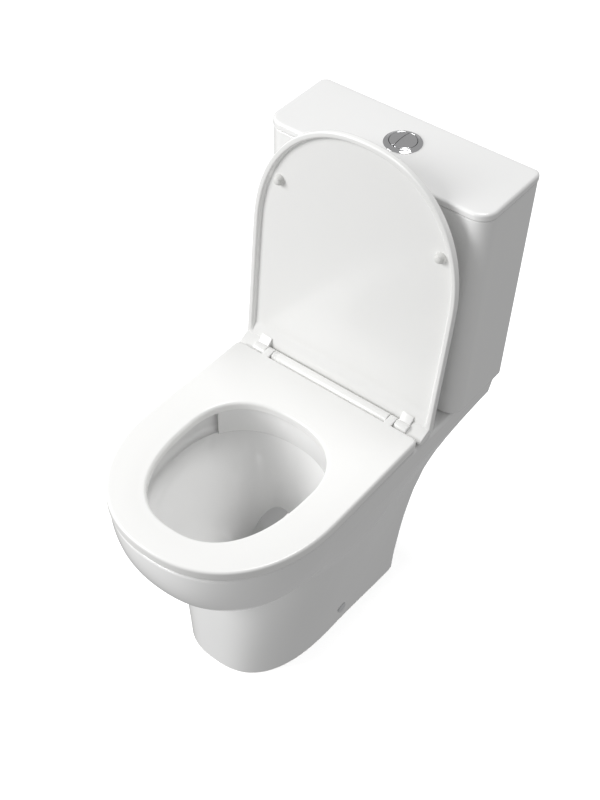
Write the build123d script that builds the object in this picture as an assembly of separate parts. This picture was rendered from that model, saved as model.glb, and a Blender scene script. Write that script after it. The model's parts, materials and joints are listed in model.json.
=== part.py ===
from build123d import *
import math
import os

# Close coupled toilet.  +X is the right side seen from the front, -Y the front, +Y the wall,
# +Z up; the floor is z = 0 and the origin lies below the middle of the whole object.

# ---- overall sizes -------------------------------------------------------------------------
WALL_Y = 326.5                  # plane of the wall behind pan and cistern
SEAT_FRONT_Y = -320.0
SEAT_HALF_WIDTH = 180.0
RIM_Z = 412.0                   # top of the ceramic rim and deck
CISTERN_TOP_Z = 803.0

# ---- pan -----------------------------------------------------------------------------------
CERAMIC_WALL = 12.0
DECK_THICKNESS = 14.0
FOOT_HALF_WIDTH = 113.7
FOOT_FRONT = 186.0              # front of the pedestal, measured from y = 0
FOOT_REAR_HALF_WIDTH = 118.0
FOOT_REAR_Y = 167.5
DECK_HALF_WIDTH = 178.0
DECK_EDGE = 40.0                # height of the flat deck edge
DECK_REAR_GAP = 1.0             # deck to wall
PEDESTAL_POWER = 2.6
DECK_LEAN = 9.5                 # the deck's rear edge leans in towards its foot
DECK_TAPER = 2.5
REAR_SLOPE = 44.5               # how far the rear runs back from foot to deck
FLARE_START = 0.67              # share of the height where the rear sweeps back
REAR_CORNER = 6.0
RIM_INSET = 2.5                 # rim inside the seat's outline
BOWL_CENTRE_Y = -105.0
BOWL_REAR_LENGTH = 215.0
BOWL_DEPTH = 205.0              # where the outer bowl would close to a point
BOWL_POWER = 2.24
MOUTH_HALF_WIDTH = 138.0
MOUTH_FRONT = 180.0             # mouth's half lengths from the bowl's centre
MOUTH_REAR = 140.0
BAND_DEPTH = 50.0               # upright band below the rim
BASIN_POWER = 2.2               # gentle slope at the top, steep towards the sump
LEDGE = 8.0
SUMP_Z = 132.0
SUMP_HALF_WIDTH = 40.0
SUMP_CENTRE_Y = -28.0
SUMP_HALF_LENGTH = 44.0
BASIN_WALL = 10.0

TRAP_BORE_R = 40.0
SPIGOT_R = 51.0
SPIGOT_Z = 180.0
SPIGOT_END_Y = 226.0
SPIGOT_LENGTH = 30.0
DOOR_HALF_WIDTH = 96.0          # opening behind the pedestal for the soil pipe
DOOR_TOP_DROP = 16.0            # the opening's top below the deck's edge
HOSE_WAY_R = 20.0               # passage for the water hose behind the deck
DUCT_HALF_WIDTH = 34.0
DUCT_HEIGHT = 38.0
DUCT_DROP = 8.0                 # roof of the duct below the deck's underside
HORN_WALL = 9.0
HORN_DEPTH = 34.0
TRAP_WEIR = (85.0, 238.0)       # y, z of the trapway's top bend
TRAP_BEND_R = 54.0

# ---- cistern -------------------------------------------------------------------------------
CISTERN_FRONT_Y = 186.0
CISTERN_FOOT_HALF_WIDTH = 186.5
CISTERN_HEAD_HALF_WIDTH = 191.2
CISTERN_WALL = 10.0
CISTERN_FLOOR = 12.0
CISTERN_FRONT_CORNER = 27.0
CISTERN_BACK_CORNER = 12.0
COVER_THICKNESS = 11.5
COVER_HALF_WIDTH = 192.2
COVER_OVERHANG = 1.2
SHADOW_GAP = 2.0
COVER_PLATE = 8.0
COVER_LIP = 11.0                # depth of the locating lip inside the tank
COVER_CLEARANCE = 3.0

# ---- flush buttons -------------------------------------------------------------------------
BUTTON_R = 20.6
BUTTON_RUNNING = 0.4
BUTTON_SPLIT_X = -3.0
BUTTON_SLIT = 0.8
BUTTON_TRAVEL = 8.0
BUTTON_HEIGHT = 14.0
DOME_RISE = 2.8
BEZEL_R = 29.0
BEZEL_HEIGHT = 4.0
BUTTON_RISE = 0.0               # the buttons' edge above the bezel
SLEEVE_WALL = 2.4
SLEEVE_LENGTH = 30.0
THREAD_CLEARANCE = 0.1
ROD_R = 3.0
ROD_HOLE_CLEARANCE = 0.6
SPRING_WIRE_R = 0.5
SPRING_COIL_R = 5.0
SPRING_TURNS = 7

# ---- flush valve ---------------------------------------------------------------------------
OUTLET_HOLE_R = 32.5
OUTLET_TAIL_R = 30.0
OUTLET_BORE_R = 26.0
VALVE_FLANGE_R = 42.0
FLANGE_THICKNESS = 5.0
VALVE_SEAT_HEIGHT = 5.0
CAGE_HEIGHT = 95.0
CAGE_WALL = 2.5
BRIDGE_Z = 690.0
BRIDGE_THICKNESS = 8.0
RISER_R = 13.0
RISER_WALL = 2.0
RISER_RUNNING = 0.4
RISER_LIFT = 25.0
SEAL_THICKNESS = 3.0
HORN_R = 46.0
DOUGHNUT_R = 45.5

# ---- fill valve ----------------------------------------------------------------------------
INLET_X = -128.0
INLET_TAIL_R = 10.4             # G 1/2 thread
INLET_END_R = 10.2              # its free end
INLET_END_LENGTH = 34.0
INLET_TAIL_END_Z = 352.0
INLET_HOLE_R = 11.0
COLUMN_R = 11.0
COLUMN_TOP_Z = 655.0
HEAD_R = 21.0
HEAD_HEIGHT = 26.0
FLOAT_R = 32.0
FLOAT_HEIGHT = 62.0
FLOAT_BASE_Z = 560.0
FLOAT_TRAVEL = 12.0
FLOAT_RUNNING = 0.5
LEVER_LENGTH = 42.0
LEVER_PIN_R = 2.0

# ---- fixings -------------------------------------------------------------------------------
CISTERN_BOLT_X = 75.0
CISTERN_BOLT_R = 4.0
BOLT_HOLE_CLEARANCE = 1.5
WING_SPAN = 17.0
SEAT_BOLT_X = 77.5              # seat fixings at 155 mm centres
SEAT_BOLT_R = 3.0
SIDE_SCREW_Y = 10.0
SIDE_SCREW_Z = 46.0
SIDE_SCREW_R = 2.5
SIDE_CAP_R = 9.5
SIDE_CAP_THICKNESS = 3.0
BRACKET_WIDTH = 30.0
BRACKET_SHEET = 3.0
FLOOR_HOLE_R = 4.0
FLOOR_HOLE_X = 72.0

# ---- seat and cover ------------------------------------------------------------------------
SEAT_GAP = 4.0                  # buffers' height between rim and seat
SEAT_THICKNESS = 17.0
SEAT_WIDEST_Y = -113.0
SEAT_REAR_Y = 97.0
SEAT_REAR_HALF_WIDTH = 178.0
SEAT_POWER = 2.2
HOLE_CENTRE_Y = -93.5
HOLE_HALF_WIDTH = 114.7
HOLE_FRONT = 171.4
HOLE_REAR = 107.8
HOLE_POWER = 2.4
SEAT_EDGE_R = 3.5
BUFFER_LENGTH = 24.0
BUFFER_WIDTH = 11.0
TOUCH_GAP = 0.3

HINGE_Y = 111.0
HINGE_Z = 424.0
BAR_R = 10.5
BAR_HALF_LENGTH = 114.0
EAR_WIDTH = 13.0
KNUCKLE_WIDTH = 22.0
KNUCKLE_R = 10.5
SIDE_GAP = 0.5
PIN_R = 4.0
PIN_RUNNING = 0.06
DAMPER_R = 7.0
DAMPER_LENGTH = 48.0
OPEN_ANGLE = 95.0
COVER_SEAT_GAP = 3.0
LID_DEPTH = 15.0
LID_PLATE = 7.0
LID_LIP_WIDTH = 9.0
LID_OVERHANG = 5.0
LID_HALF_WIDTH = 181.0
LID_TAIL = 5.0                  # how far the cover reaches past the hinge axis
LID_BUFFER_X = 141.0
LID_BUFFER_DISTANCE = 305.0     # from the hinge axis
LID_BUFFER_R = 8.0

# ---- derived -------------------------------------------------------------------------------
DECK_UNDER_Z = RIM_Z - DECK_THICKNESS
DECK_FOOT_Z = RIM_Z - DECK_EDGE
DECK_REAR_Y = WALL_Y - DECK_REAR_GAP
RIM_HALF_WIDTH = SEAT_HALF_WIDTH - RIM_INSET
RIM_FRONT_Y = SEAT_FRONT_Y + RIM_INSET
TANK_TOP_Z = CISTERN_TOP_Z - COVER_THICKNESS - SHADOW_GAP
TANK_FLOOR_Z = RIM_Z + CISTERN_FLOOR
CISTERN_MID_Y = (CISTERN_FRONT_Y + WALL_Y) / 2 + 3.75
COVER_UNDER_Z = CISTERN_TOP_Z - COVER_PLATE
SLEEVE_R = BUTTON_R + BUTTON_RUNNING + SLEEVE_WALL
SLEEVE_END_Z = CISTERN_TOP_Z - SLEEVE_LENGTH
SHELF_TOP_Z = SLEEVE_END_Z + 3.0
BUTTON_TOP_Z = CISTERN_TOP_Z + BEZEL_HEIGHT + BUTTON_RISE
BUTTON_UNDER_Z = BUTTON_TOP_Z - BUTTON_HEIGHT
VALVE_FLANGE_Z = TANK_FLOOR_Z + FLANGE_THICKNESS
VALVE_SEAT_Z = VALVE_FLANGE_Z + VALVE_SEAT_HEIGHT
BRIDGE_TOP_Z = BRIDGE_Z + BRIDGE_THICKNESS
ROD_END_Z = BRIDGE_TOP_Z + BUTTON_TRAVEL + 2.0
FULL_ROD_X = 10.0
HALF_ROD_X = -11.5
SEAT_UNDER_Z = RIM_Z + SEAT_GAP
SEAT_TOP_Z = SEAT_UNDER_Z + SEAT_THICKNESS
LID_UNDER_Z = SEAT_TOP_Z + COVER_SEAT_GAP
LID_FRONT_Y = SEAT_FRONT_Y - LID_OVERHANG
EAR_X = BAR_HALF_LENGTH + SIDE_GAP
KNUCKLE_X = EAR_X + EAR_WIDTH + SIDE_GAP
SIDES = (("left", -1), ("right", 1))


# ---- helpers -------------------------------------------------------------------------------
def tube(radius, z_low, z_high, x=0.0, y=0.0, bore=0.0):
    """Upright cylinder or ring between two heights."""
    height = z_high - z_low
    solid = Pos(x, y, z_low + height / 2) * Cylinder(radius, height)
    if bore:
        solid -= Pos(x, y, z_low + height / 2) * Cylinder(bore, height + 2)
    return solid


def rod_x(radius, x_low, x_high, y, z):
    """Cylinder lying along X."""
    length = x_high - x_low
    return Pos(x_low + length / 2, y, z) * Rot(0, 90, 0) * Cylinder(radius, length)


def block(x_low, x_high, y_low, y_high, z_low, z_high):
    """Box between two corners."""
    centre = ((x_low + x_high) / 2, (y_low + y_high) / 2, (z_low + z_high) / 2)
    return Pos(*centre) * Box(x_high - x_low, y_high - y_low, z_high - z_low)


def mirrored(sign, shape):
    """The shape itself on the right, its mirror image on the left."""
    return shape if sign > 0 else mirror(shape, Plane.YZ)


def arc_points(half_width, length, power, centre_y, z, start, steps=8):
    """Half of a superellipse from one side to the other; a negative length points forward."""
    points = []
    for i in range(2 * steps + 1):
        angle = math.pi * i / (2 * steps)
        c, s = math.cos(angle), math.sin(angle)
        x = start * half_width * math.copysign(abs(c) ** (2 / power), c)
        points.append(Vector(x, centre_y + length * s ** (2 / power), z))
    return points


def half_oval(half_width, length, power, centre_y, z, start):
    """Smooth curve through half of a superellipse, leaving its ends along Y."""
    points = arc_points(half_width, length, power, centre_y, z, start)
    way = math.copysign(1, length)
    return Spline(*points, tangents=[(0, way, 0), (0, -way, 0)])


def oval_face(half_width, front, rear, power, centre_y, z):
    """Closed oval with its own lengths to the front and to the rear of its centre."""
    return make_face([half_oval(half_width, -front, power, centre_y, z, 1),
                      half_oval(half_width, rear, power, centre_y, z, -1)])


def corner(x, y, z, radius, dx, dy):
    """Quarter arc that turns the square corner (x, y), entered along dx or dy."""
    k = radius * (1 - math.sqrt(0.5))
    start = (x - dx[0] * radius, y - dx[1] * radius, z)
    end = (x + dy[0] * radius, y + dy[1] * radius, z)
    middle = (x - dx[0] * k + dy[0] * k, y - dx[1] * k + dy[1] * k, z)
    return ThreePointArc(start, middle, end)


def rear_edges(half_width, rear, radius, z):
    """Two rounded rear corners and the straight edge between them, from left to right."""
    return [corner(-half_width, rear, z, radius, (0, 1), (1, 0)),
            Line((-half_width + radius, rear, z), (half_width - radius, rear, z)),
            corner(half_width, rear, z, radius, (1, 0), (0, -1))]


def horseshoe_face(half_width, front, rear_half_width, rear, radius, power, front_y, z):
    """Round front, gently tapering sides and a square rear with rounded corners."""
    nose = half_oval(half_width, -front, power, front_y, z, 1)
    left = Spline((-half_width, front_y, z), (-rear_half_width, rear - radius, z),
                  tangents=[(0, 1, 0), (0, 1, 0)])
    right = Spline((rear_half_width, rear - radius, z), (half_width, front_y, z),
                   tangents=[(0, -1, 0), (0, -1, 0)])
    return make_face([nose, left, *rear_edges(rear_half_width, rear, radius, z), right])


# ---- pan -----------------------------------------------------------------------------------
def pedestal_half_width(z):
    """Half width of the pedestal where it is widest, at height z."""
    return FOOT_HALF_WIDTH + (DECK_HALF_WIDTH - FOOT_HALF_WIDTH) * (z / DECK_FOOT_Z) ** 1.15


def pedestal_face(z, inset=0.0):
    """Cross-section of pedestal and deck at height z."""
    share = min(z / DECK_FOOT_Z, 1.0)
    edge = max(z - DECK_FOOT_Z, 0.0) / DECK_EDGE
    width = pedestal_half_width(min(z, DECK_FOOT_Z))
    spread = DECK_HALF_WIDTH - DECK_TAPER - FOOT_REAR_HALF_WIDTH
    rear_width = FOOT_REAR_HALF_WIDTH + spread * share ** 2.5 + DECK_TAPER * edge
    flare = max(0.0, (share - FLARE_START) / (1 - FLARE_START)) ** 2.5
    reach = DECK_REAR_Y - DECK_LEAN - FOOT_REAR_Y - REAR_SLOPE
    rear = FOOT_REAR_Y + REAR_SLOPE * share + reach * flare + DECK_LEAN * edge
    return horseshoe_face(width - inset, FOOT_FRONT - inset, rear_width - inset, rear - inset,
                          max(REAR_CORNER - inset / 2, 2.0), PEDESTAL_POWER, 0.0, z)


def pedestal(inset, z_low, z_high):
    """Pedestal up to the deck's foot, then the deck's edge."""
    levels = [z_low] + [DECK_FOOT_Z * k / 8 for k in range(1, 9)]
    lower = loft([pedestal_face(max(z, 0.0), inset).moved(Location((0, 0, min(z, 0.0))))
                  for z in levels])
    upper = loft([pedestal_face(DECK_FOOT_Z, inset), pedestal_face(z_high, inset)])
    return lower + upper


def bowl_face(z, inset=0.0):
    """Cross-section of the bowl's outside at height z."""
    depth = (RIM_Z - z) / BOWL_DEPTH
    scale = (1 - depth ** 2.34) ** 0.54
    front = BOWL_CENTRE_Y - RIM_FRONT_Y
    return oval_face(RIM_HALF_WIDTH * scale - inset, front * scale - inset,
                     BOWL_REAR_LENGTH * scale - inset, BOWL_POWER, BOWL_CENTRE_Y, z)


def bowl(inset, depths):
    """Round outside of the bowl, lofted through cross-sections at these depths."""
    return loft([bowl_face(RIM_Z - depth, inset) for depth in depths])


def basin(grow, overshoot):
    """Space inside the bowl, or its outer skin when grown by the basin's wall."""
    ledge_z = RIM_Z - BAND_DEPTH
    band = extrude(oval_face(MOUTH_HALF_WIDTH + grow, MOUTH_FRONT + grow, MOUTH_REAR + grow,
                             BOWL_POWER, BOWL_CENTRE_Y, ledge_z), BAND_DEPTH + overshoot,
                   dir=(0, 0, 1))
    sections = []
    for share in (1.0, 0.75, 0.5, 0.25, 0.0):
        ease = share ** BASIN_POWER
        width = SUMP_HALF_WIDTH + (MOUTH_HALF_WIDTH - LEDGE - SUMP_HALF_WIDTH) * ease
        front = SUMP_HALF_LENGTH + (MOUTH_FRONT - LEDGE - SUMP_HALF_LENGTH) * ease
        rear = SUMP_HALF_LENGTH + (MOUTH_REAR - LEDGE - SUMP_HALF_LENGTH) * ease
        centre = SUMP_CENTRE_Y + (BOWL_CENTRE_Y - SUMP_CENTRE_Y) * ease
        z = SUMP_Z - grow + (ledge_z - SUMP_Z + grow) * share
        sections.append(oval_face(width + grow, front + grow, rear + grow, BOWL_POWER, centre, z))
    return band + loft(sections)


def trapway(radius, end_y):
    """Round passage from the sump over the weir to the outlet spigot."""
    route = FilletPolyline((0, SUMP_CENTRE_Y + 10, SUMP_Z + 30), (0, *TRAP_WEIR),
                           (0, TRAP_WEIR[0] + 58, SPIGOT_Z), (0, end_y, SPIGOT_Z),
                           radius=TRAP_BEND_R)
    start = Plane(origin=route @ 0, z_dir=route % 0)
    return sweep(start * Circle(radius), path=route)


def flush_duct(grow):
    """Box-shaped water way from the horn below the cistern to the back of the bowl."""
    mouth_y = BOWL_CENTRE_Y + MOUTH_REAR
    high = DECK_UNDER_Z - DUCT_DROP
    return block(-DUCT_HALF_WIDTH - grow, DUCT_HALF_WIDTH + grow, mouth_y - 4,
                 CISTERN_MID_Y + HORN_R - 8 + grow, high - DUCT_HEIGHT - grow, high + grow)


def make_pan():
    outer = pedestal(0.0, 0.0, RIM_Z) + bowl(0.0, (0, 22, 50, 85, 120, 150, 175, 192, 200))
    hollow = pedestal(CERAMIC_WALL, -1.0, DECK_UNDER_Z)
    hollow += bowl(CERAMIC_WALL, (DECK_THICKNESS, 40, 70, 100, 130, 150, 165))
    rear_door = block(-DOOR_HALF_WIDTH, DOOR_HALF_WIDTH, FOOT_REAR_Y - 40, WALL_Y, -1,
                      DECK_FOOT_Z - DOOR_TOP_DROP)
    core = basin(BASIN_WALL, -DECK_THICKNESS / 2)
    core += trapway(TRAP_BORE_R + BASIN_WALL - 1, SPIGOT_END_Y - 10)
    core += tube(HORN_R + HORN_WALL, DECK_UNDER_Z - HORN_DEPTH - 6, DECK_UNDER_Z + 4, 0,
                 CISTERN_MID_Y)
    core += flush_duct(HORN_WALL)
    spigot = Pos(0, SPIGOT_END_Y - SPIGOT_LENGTH / 2, SPIGOT_Z) * Rot(90, 0, 0) * Cylinder(
        SPIGOT_R, SPIGOT_LENGTH)
    pan = outer - hollow - rear_door + core + spigot
    pan -= basin(0.0, 2.0) + trapway(TRAP_BORE_R, SPIGOT_END_Y + 1)
    pan -= flush_duct(0.0)
    pan -= tube(HORN_R, DECK_UNDER_Z - HORN_DEPTH, RIM_Z + 1, 0, CISTERN_MID_Y)
    for _, sign in SIDES:
        pan -= tube(SEAT_BOLT_R + BOLT_HOLE_CLEARANCE, DECK_UNDER_Z - 1, RIM_Z + 1,
                    sign * SEAT_BOLT_X, HINGE_Y)
        pan -= tube(CISTERN_BOLT_R + BOLT_HOLE_CLEARANCE, DECK_UNDER_Z - 1, RIM_Z + 1,
                    sign * CISTERN_BOLT_X, CISTERN_MID_Y)
        passage = rod_x(SIDE_SCREW_R + 1, SIDE_FACE_X - 30, SIDE_FACE_X + 30, SIDE_SCREW_Y,
                        SIDE_SCREW_Z)
        passage += rod_x(SIDE_CAP_R + 0.6, SIDE_FACE_X, SIDE_FACE_X + 30, SIDE_SCREW_Y,
                         SIDE_SCREW_Z)
        pan -= mirrored(sign, passage)
    pan -= tube(INLET_TAIL_R + 9, DECK_UNDER_Z - 1, RIM_Z + 1, INLET_X, CISTERN_MID_Y)
    pan -= tube(HOSE_WAY_R, DECK_FOOT_Z - 80, DECK_UNDER_Z, INLET_X, CISTERN_MID_Y)
    return pan


# ---- cistern -------------------------------------------------------------------------------
def tank_face(half_width, front, back, front_corner, back_corner, z):
    """Rectangle against the wall with large front corners and small back ones."""
    right = Line((half_width, back - back_corner, z), (half_width, front + front_corner, z))
    left = Line((-half_width, front + front_corner, z), (-half_width, back - back_corner, z))
    nose = Line((half_width - front_corner, front, z), (-half_width + front_corner, front, z))
    return make_face([right, corner(half_width, front, z, front_corner, (0, -1), (-1, 0)), nose,
                      corner(-half_width, front, z, front_corner, (-1, 0), (0, 1)), left,
                      *rear_edges(half_width, back, back_corner, z)])


def tank_section(z, inset):
    """Cistern's cross-section at height z; the sides lean out towards the top."""
    share = (z - RIM_Z) / (TANK_TOP_Z - RIM_Z)
    spread = CISTERN_HEAD_HALF_WIDTH - CISTERN_FOOT_HALF_WIDTH
    half_width = CISTERN_FOOT_HALF_WIDTH + spread * share
    return tank_face(half_width - inset, CISTERN_FRONT_Y + inset, WALL_Y - inset,
                     CISTERN_FRONT_CORNER - inset, max(CISTERN_BACK_CORNER - inset, 3.0), z)


def make_cistern():
    tank = loft([tank_section(RIM_Z, 0), tank_section(TANK_TOP_Z, 0)])
    tank -= loft([tank_section(TANK_FLOOR_Z, CISTERN_WALL),
                  tank_section(TANK_TOP_Z + 1, CISTERN_WALL)])
    low, high = RIM_Z - 1, TANK_FLOOR_Z + 1
    tank -= tube(OUTLET_HOLE_R, low, high, 0, CISTERN_MID_Y)
    tank -= tube(INLET_HOLE_R, low, high, INLET_X, CISTERN_MID_Y)
    for _, sign in SIDES:
        tank -= tube(CISTERN_BOLT_R + BOLT_HOLE_CLEARANCE, low, high, sign * CISTERN_BOLT_X,
                     CISTERN_MID_Y)
    return tank


def make_cistern_cover():
    def plan(inset, z, thickness):
        face = tank_face(COVER_HALF_WIDTH - inset, CISTERN_FRONT_Y - COVER_OVERHANG + inset,
                         WALL_Y - inset, CISTERN_FRONT_CORNER - inset,
                         max(CISTERN_BACK_CORNER - inset, 2.0), z)
        return extrude(face, thickness, dir=(0, 0, 1))
    edge = COVER_HALF_WIDTH - CISTERN_HEAD_HALF_WIDTH
    lip = CISTERN_WALL + edge + COVER_CLEARANCE
    slab = plan(0, TANK_TOP_Z + SHADOW_GAP, COVER_THICKNESS)
    top = slab.faces().sort_by(Axis.Z)[-1]
    slab = fillet(top.edges(), COVER_THICKNESS / 3)
    foot = plan(edge + 2, TANK_TOP_Z, SHADOW_GAP + 1)
    locating = plan(lip, TANK_TOP_Z - COVER_LIP, COVER_LIP + 1)
    under = plan(lip + 6, TANK_TOP_Z - COVER_LIP - 1, COVER_UNDER_Z - TANK_TOP_Z + COVER_LIP + 1)
    hole = tube(SLEEVE_R + THREAD_CLEARANCE + 0.5, COVER_UNDER_Z - 1, CISTERN_TOP_Z + 1, 0,
                CISTERN_MID_Y)
    return slab + foot + locating - under - hole


# ---- flush buttons -------------------------------------------------------------------------
def make_button_bezel():
    bore = BUTTON_R + BUTTON_RUNNING
    top = CISTERN_TOP_Z + BEZEL_HEIGHT
    profile = Polyline((bore, SLEEVE_END_Z), (SLEEVE_R, SLEEVE_END_Z), (SLEEVE_R, CISTERN_TOP_Z),
                       (BEZEL_R, CISTERN_TOP_Z), (BEZEL_R, CISTERN_TOP_Z + 0.8),
                       (BEZEL_R - 4.5, top - 0.8), (SLEEVE_R - 0.8, top), (bore, top),
                       close=True)
    ring = Pos(0, CISTERN_MID_Y, 0) * revolve(Plane.XZ * make_face(profile), Axis.Z)
    shelf = tube(bore + 0.5, SLEEVE_END_Z, SHELF_TOP_Z, 0, CISTERN_MID_Y)
    for x in (FULL_ROD_X, HALF_ROD_X):
        shelf -= tube(ROD_R + ROD_HOLE_CLEARANCE, SLEEVE_END_Z - 1, SHELF_TOP_Z + 1, x,
                      CISTERN_MID_Y)
    return ring + shelf


def make_bezel_nut():
    nut = Pos(0, CISTERN_MID_Y, COVER_UNDER_Z - 5) * extrude(
        RegularPolygon(SLEEVE_R + 9, 12), 10, both=False, dir=(0, 0, 1))
    nut = nut.moved(Location((0, 0, -5)))
    return nut - tube(SLEEVE_R + THREAD_CLEARANCE, COVER_UNDER_Z - 12, COVER_UNDER_Z + 1, 0,
                      CISTERN_MID_Y)


def make_button(x_low, x_high):
    """One part of the round two-part button, domed on top."""
    sphere_r = (BUTTON_R ** 2 + DOME_RISE ** 2) / (2 * DOME_RISE)
    cap = tube(BUTTON_R, BUTTON_UNDER_Z, BUTTON_TOP_Z + DOME_RISE, 0, CISTERN_MID_Y)
    cap &= Pos(0, CISTERN_MID_Y, BUTTON_TOP_Z + DOME_RISE - sphere_r) * Sphere(sphere_r)
    return cap & block(x_low, x_high, CISTERN_FRONT_Y, WALL_Y, BUTTON_UNDER_Z - 1,
                       CISTERN_TOP_Z + 40)


def make_spring(x):
    """Return spring round a push rod, between the sleeve's shelf and the button."""
    height = BUTTON_UNDER_Z - SHELF_TOP_Z - 2 * SPRING_WIRE_R - 0.1
    path = Helix(height / SPRING_TURNS, height, SPRING_COIL_R)
    wire = sweep(Plane(origin=path @ 0, z_dir=path % 0) * Circle(SPRING_WIRE_R), path=path,
                 is_frenet=True)
    return Pos(x, CISTERN_MID_Y, SHELF_TOP_Z + SPRING_WIRE_R + 0.05) * wire


# ---- flush valve ---------------------------------------------------------------------------
def make_valve_base():
    tail = tube(OUTLET_TAIL_R, RIM_Z - 26, VALVE_FLANGE_Z, 0, CISTERN_MID_Y)
    tail += tube(VALVE_FLANGE_R, TANK_FLOOR_Z, VALVE_FLANGE_Z, 0, CISTERN_MID_Y)
    tail += tube(OUTLET_TAIL_R, VALVE_FLANGE_Z - 1, VALVE_SEAT_Z, 0, CISTERN_MID_Y)
    return tail - tube(OUTLET_BORE_R, RIM_Z - 27, VALVE_SEAT_Z + 1, 0, CISTERN_MID_Y)


def make_valve_cage():
    """Slotted basket on the valve's flange, with two rails and a bridge that guides the riser."""
    low, high = VALVE_FLANGE_Z, VALVE_FLANGE_Z + CAGE_HEIGHT
    radius = VALVE_FLANGE_R - 3
    cage = tube(radius, low, high, 0, CISTERN_MID_Y, radius - CAGE_WALL)
    slot = Pos(0, CISTERN_MID_Y, (low + high) / 2 + 6) * Box(2 * radius + 4, 13, CAGE_HEIGHT - 32)
    for k in range(4):
        cage -= slot.rotate(Axis((0, CISTERN_MID_Y, 0), (0, 0, 1)), 45 * k + 22.5)
    guide = RISER_R + RISER_RUNNING
    cage += tube(radius, high - 4, high, 0, CISTERN_MID_Y, guide)
    for _, sign in SIDES:
        rail = sign * (radius - 8)
        cage += block(rail - 3, rail + 3, CISTERN_MID_Y - 5, CISTERN_MID_Y + 5, high - 4,
                      BRIDGE_TOP_Z)
    bridge = block(-radius + 5, radius - 5, CISTERN_MID_Y - RISER_R - 5,
                   CISTERN_MID_Y + RISER_R + 5, BRIDGE_Z, BRIDGE_TOP_Z)
    return cage + bridge - tube(guide, BRIDGE_Z - 1, BRIDGE_TOP_Z + 1, 0, CISTERN_MID_Y)


def make_riser():
    """Overflow tube with the plate that carries the seal."""
    top = BRIDGE_Z + 4 - RISER_LIFT
    riser = tube(RISER_R, VALVE_SEAT_Z + SEAL_THICKNESS, top, 0, CISTERN_MID_Y)
    riser += tube(OUTLET_TAIL_R + 1, VALVE_SEAT_Z + SEAL_THICKNESS,
                  VALVE_SEAT_Z + SEAL_THICKNESS + 4, 0, CISTERN_MID_Y)
    return riser - tube(RISER_R - RISER_WALL, VALVE_SEAT_Z, top + 1, 0, CISTERN_MID_Y)


# ---- fill valve ----------------------------------------------------------------------------
def make_fill_valve_body():
    tail_z = INLET_TAIL_END_Z + INLET_END_LENGTH
    body = tube(INLET_TAIL_R, tail_z, TANK_FLOOR_Z + 3, INLET_X, CISTERN_MID_Y)
    body += tube(INLET_END_R, INLET_TAIL_END_Z, tail_z + 1, INLET_X, CISTERN_MID_Y)
    body += tube(17.0, TANK_FLOOR_Z + 2, TANK_FLOOR_Z + 7, INLET_X, CISTERN_MID_Y)
    body += tube(COLUMN_R, TANK_FLOOR_Z + 6, COLUMN_TOP_Z, INLET_X, CISTERN_MID_Y)
    body += tube(COLUMN_R + 5, FLOAT_BASE_Z - 6, FLOAT_BASE_Z - TOUCH_GAP, INLET_X, CISTERN_MID_Y)
    return body - tube(4.0, INLET_TAIL_END_Z - 1, COLUMN_TOP_Z - 20, INLET_X, CISTERN_MID_Y)


LEVER_PIVOT = (INLET_X + 10.0, COLUMN_TOP_Z + HEAD_HEIGHT + 6.0)
LEVER_TIP_X = LEVER_PIVOT[0] + LEVER_LENGTH
FLOAT_ROD_X = LEVER_TIP_X - 4.0


def make_fill_valve_head():
    x, z = LEVER_PIVOT
    head = tube(HEAD_R, COLUMN_TOP_Z, COLUMN_TOP_Z + HEAD_HEIGHT - 6, INLET_X, CISTERN_MID_Y)
    head += tube(HEAD_R - 6, COLUMN_TOP_Z + HEAD_HEIGHT - 7, COLUMN_TOP_Z + HEAD_HEIGHT, INLET_X,
                 CISTERN_MID_Y)
    for side in (-1, 1):
        ear_y = CISTERN_MID_Y + side * 6.0
        head += block(x - 5, x + 5, ear_y - 1.5, ear_y + 1.5, COLUMN_TOP_Z + HEAD_HEIGHT - 8, z + 5)
    pin = Pos(x, CISTERN_MID_Y, z) * Rot(90, 0, 0) * Cylinder(LEVER_PIN_R, 15)
    return head + pin


def make_fill_lever():
    x, z = LEVER_PIVOT
    arm = block(x - 5, LEVER_TIP_X, CISTERN_MID_Y - 4, CISTERN_MID_Y + 4, z - 3, z + 3)
    hole = Pos(x, CISTERN_MID_Y, z) * Rot(90, 0, 0) * Cylinder(LEVER_PIN_R + PIN_RUNNING, 20)
    return arm - hole


def make_float():
    cup = tube(FLOAT_R, FLOAT_BASE_Z, FLOAT_BASE_Z + FLOAT_HEIGHT, INLET_X, CISTERN_MID_Y)
    cup -= tube(FLOAT_R - 2, FLOAT_BASE_Z - 1, FLOAT_BASE_Z + FLOAT_HEIGHT - 2, INLET_X,
                CISTERN_MID_Y)
    cup += tube(COLUMN_R + FLOAT_RUNNING + 2, FLOAT_BASE_Z, FLOAT_BASE_Z + FLOAT_HEIGHT, INLET_X,
                CISTERN_MID_Y)
    cup += tube(5.0, FLOAT_BASE_Z + 20, FLOAT_BASE_Z + FLOAT_HEIGHT, FLOAT_ROD_X, CISTERN_MID_Y)
    cup += block(INLET_X + FLOAT_R - 4, FLOAT_ROD_X, CISTERN_MID_Y - 3, CISTERN_MID_Y + 3,
                 FLOAT_BASE_Z + 20, FLOAT_BASE_Z + FLOAT_HEIGHT)
    cup -= tube(2.0, FLOAT_BASE_Z, FLOAT_BASE_Z + FLOAT_HEIGHT + 1, FLOAT_ROD_X, CISTERN_MID_Y)
    return cup - tube(COLUMN_R + FLOAT_RUNNING, FLOAT_BASE_Z - 1,
                      FLOAT_BASE_Z + FLOAT_HEIGHT + 1, INLET_X, CISTERN_MID_Y)


def make_float_rod():
    return tube(2.0, FLOAT_BASE_Z + 24, LEVER_PIVOT[1] - 4, FLOAT_ROD_X, CISTERN_MID_Y)


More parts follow.
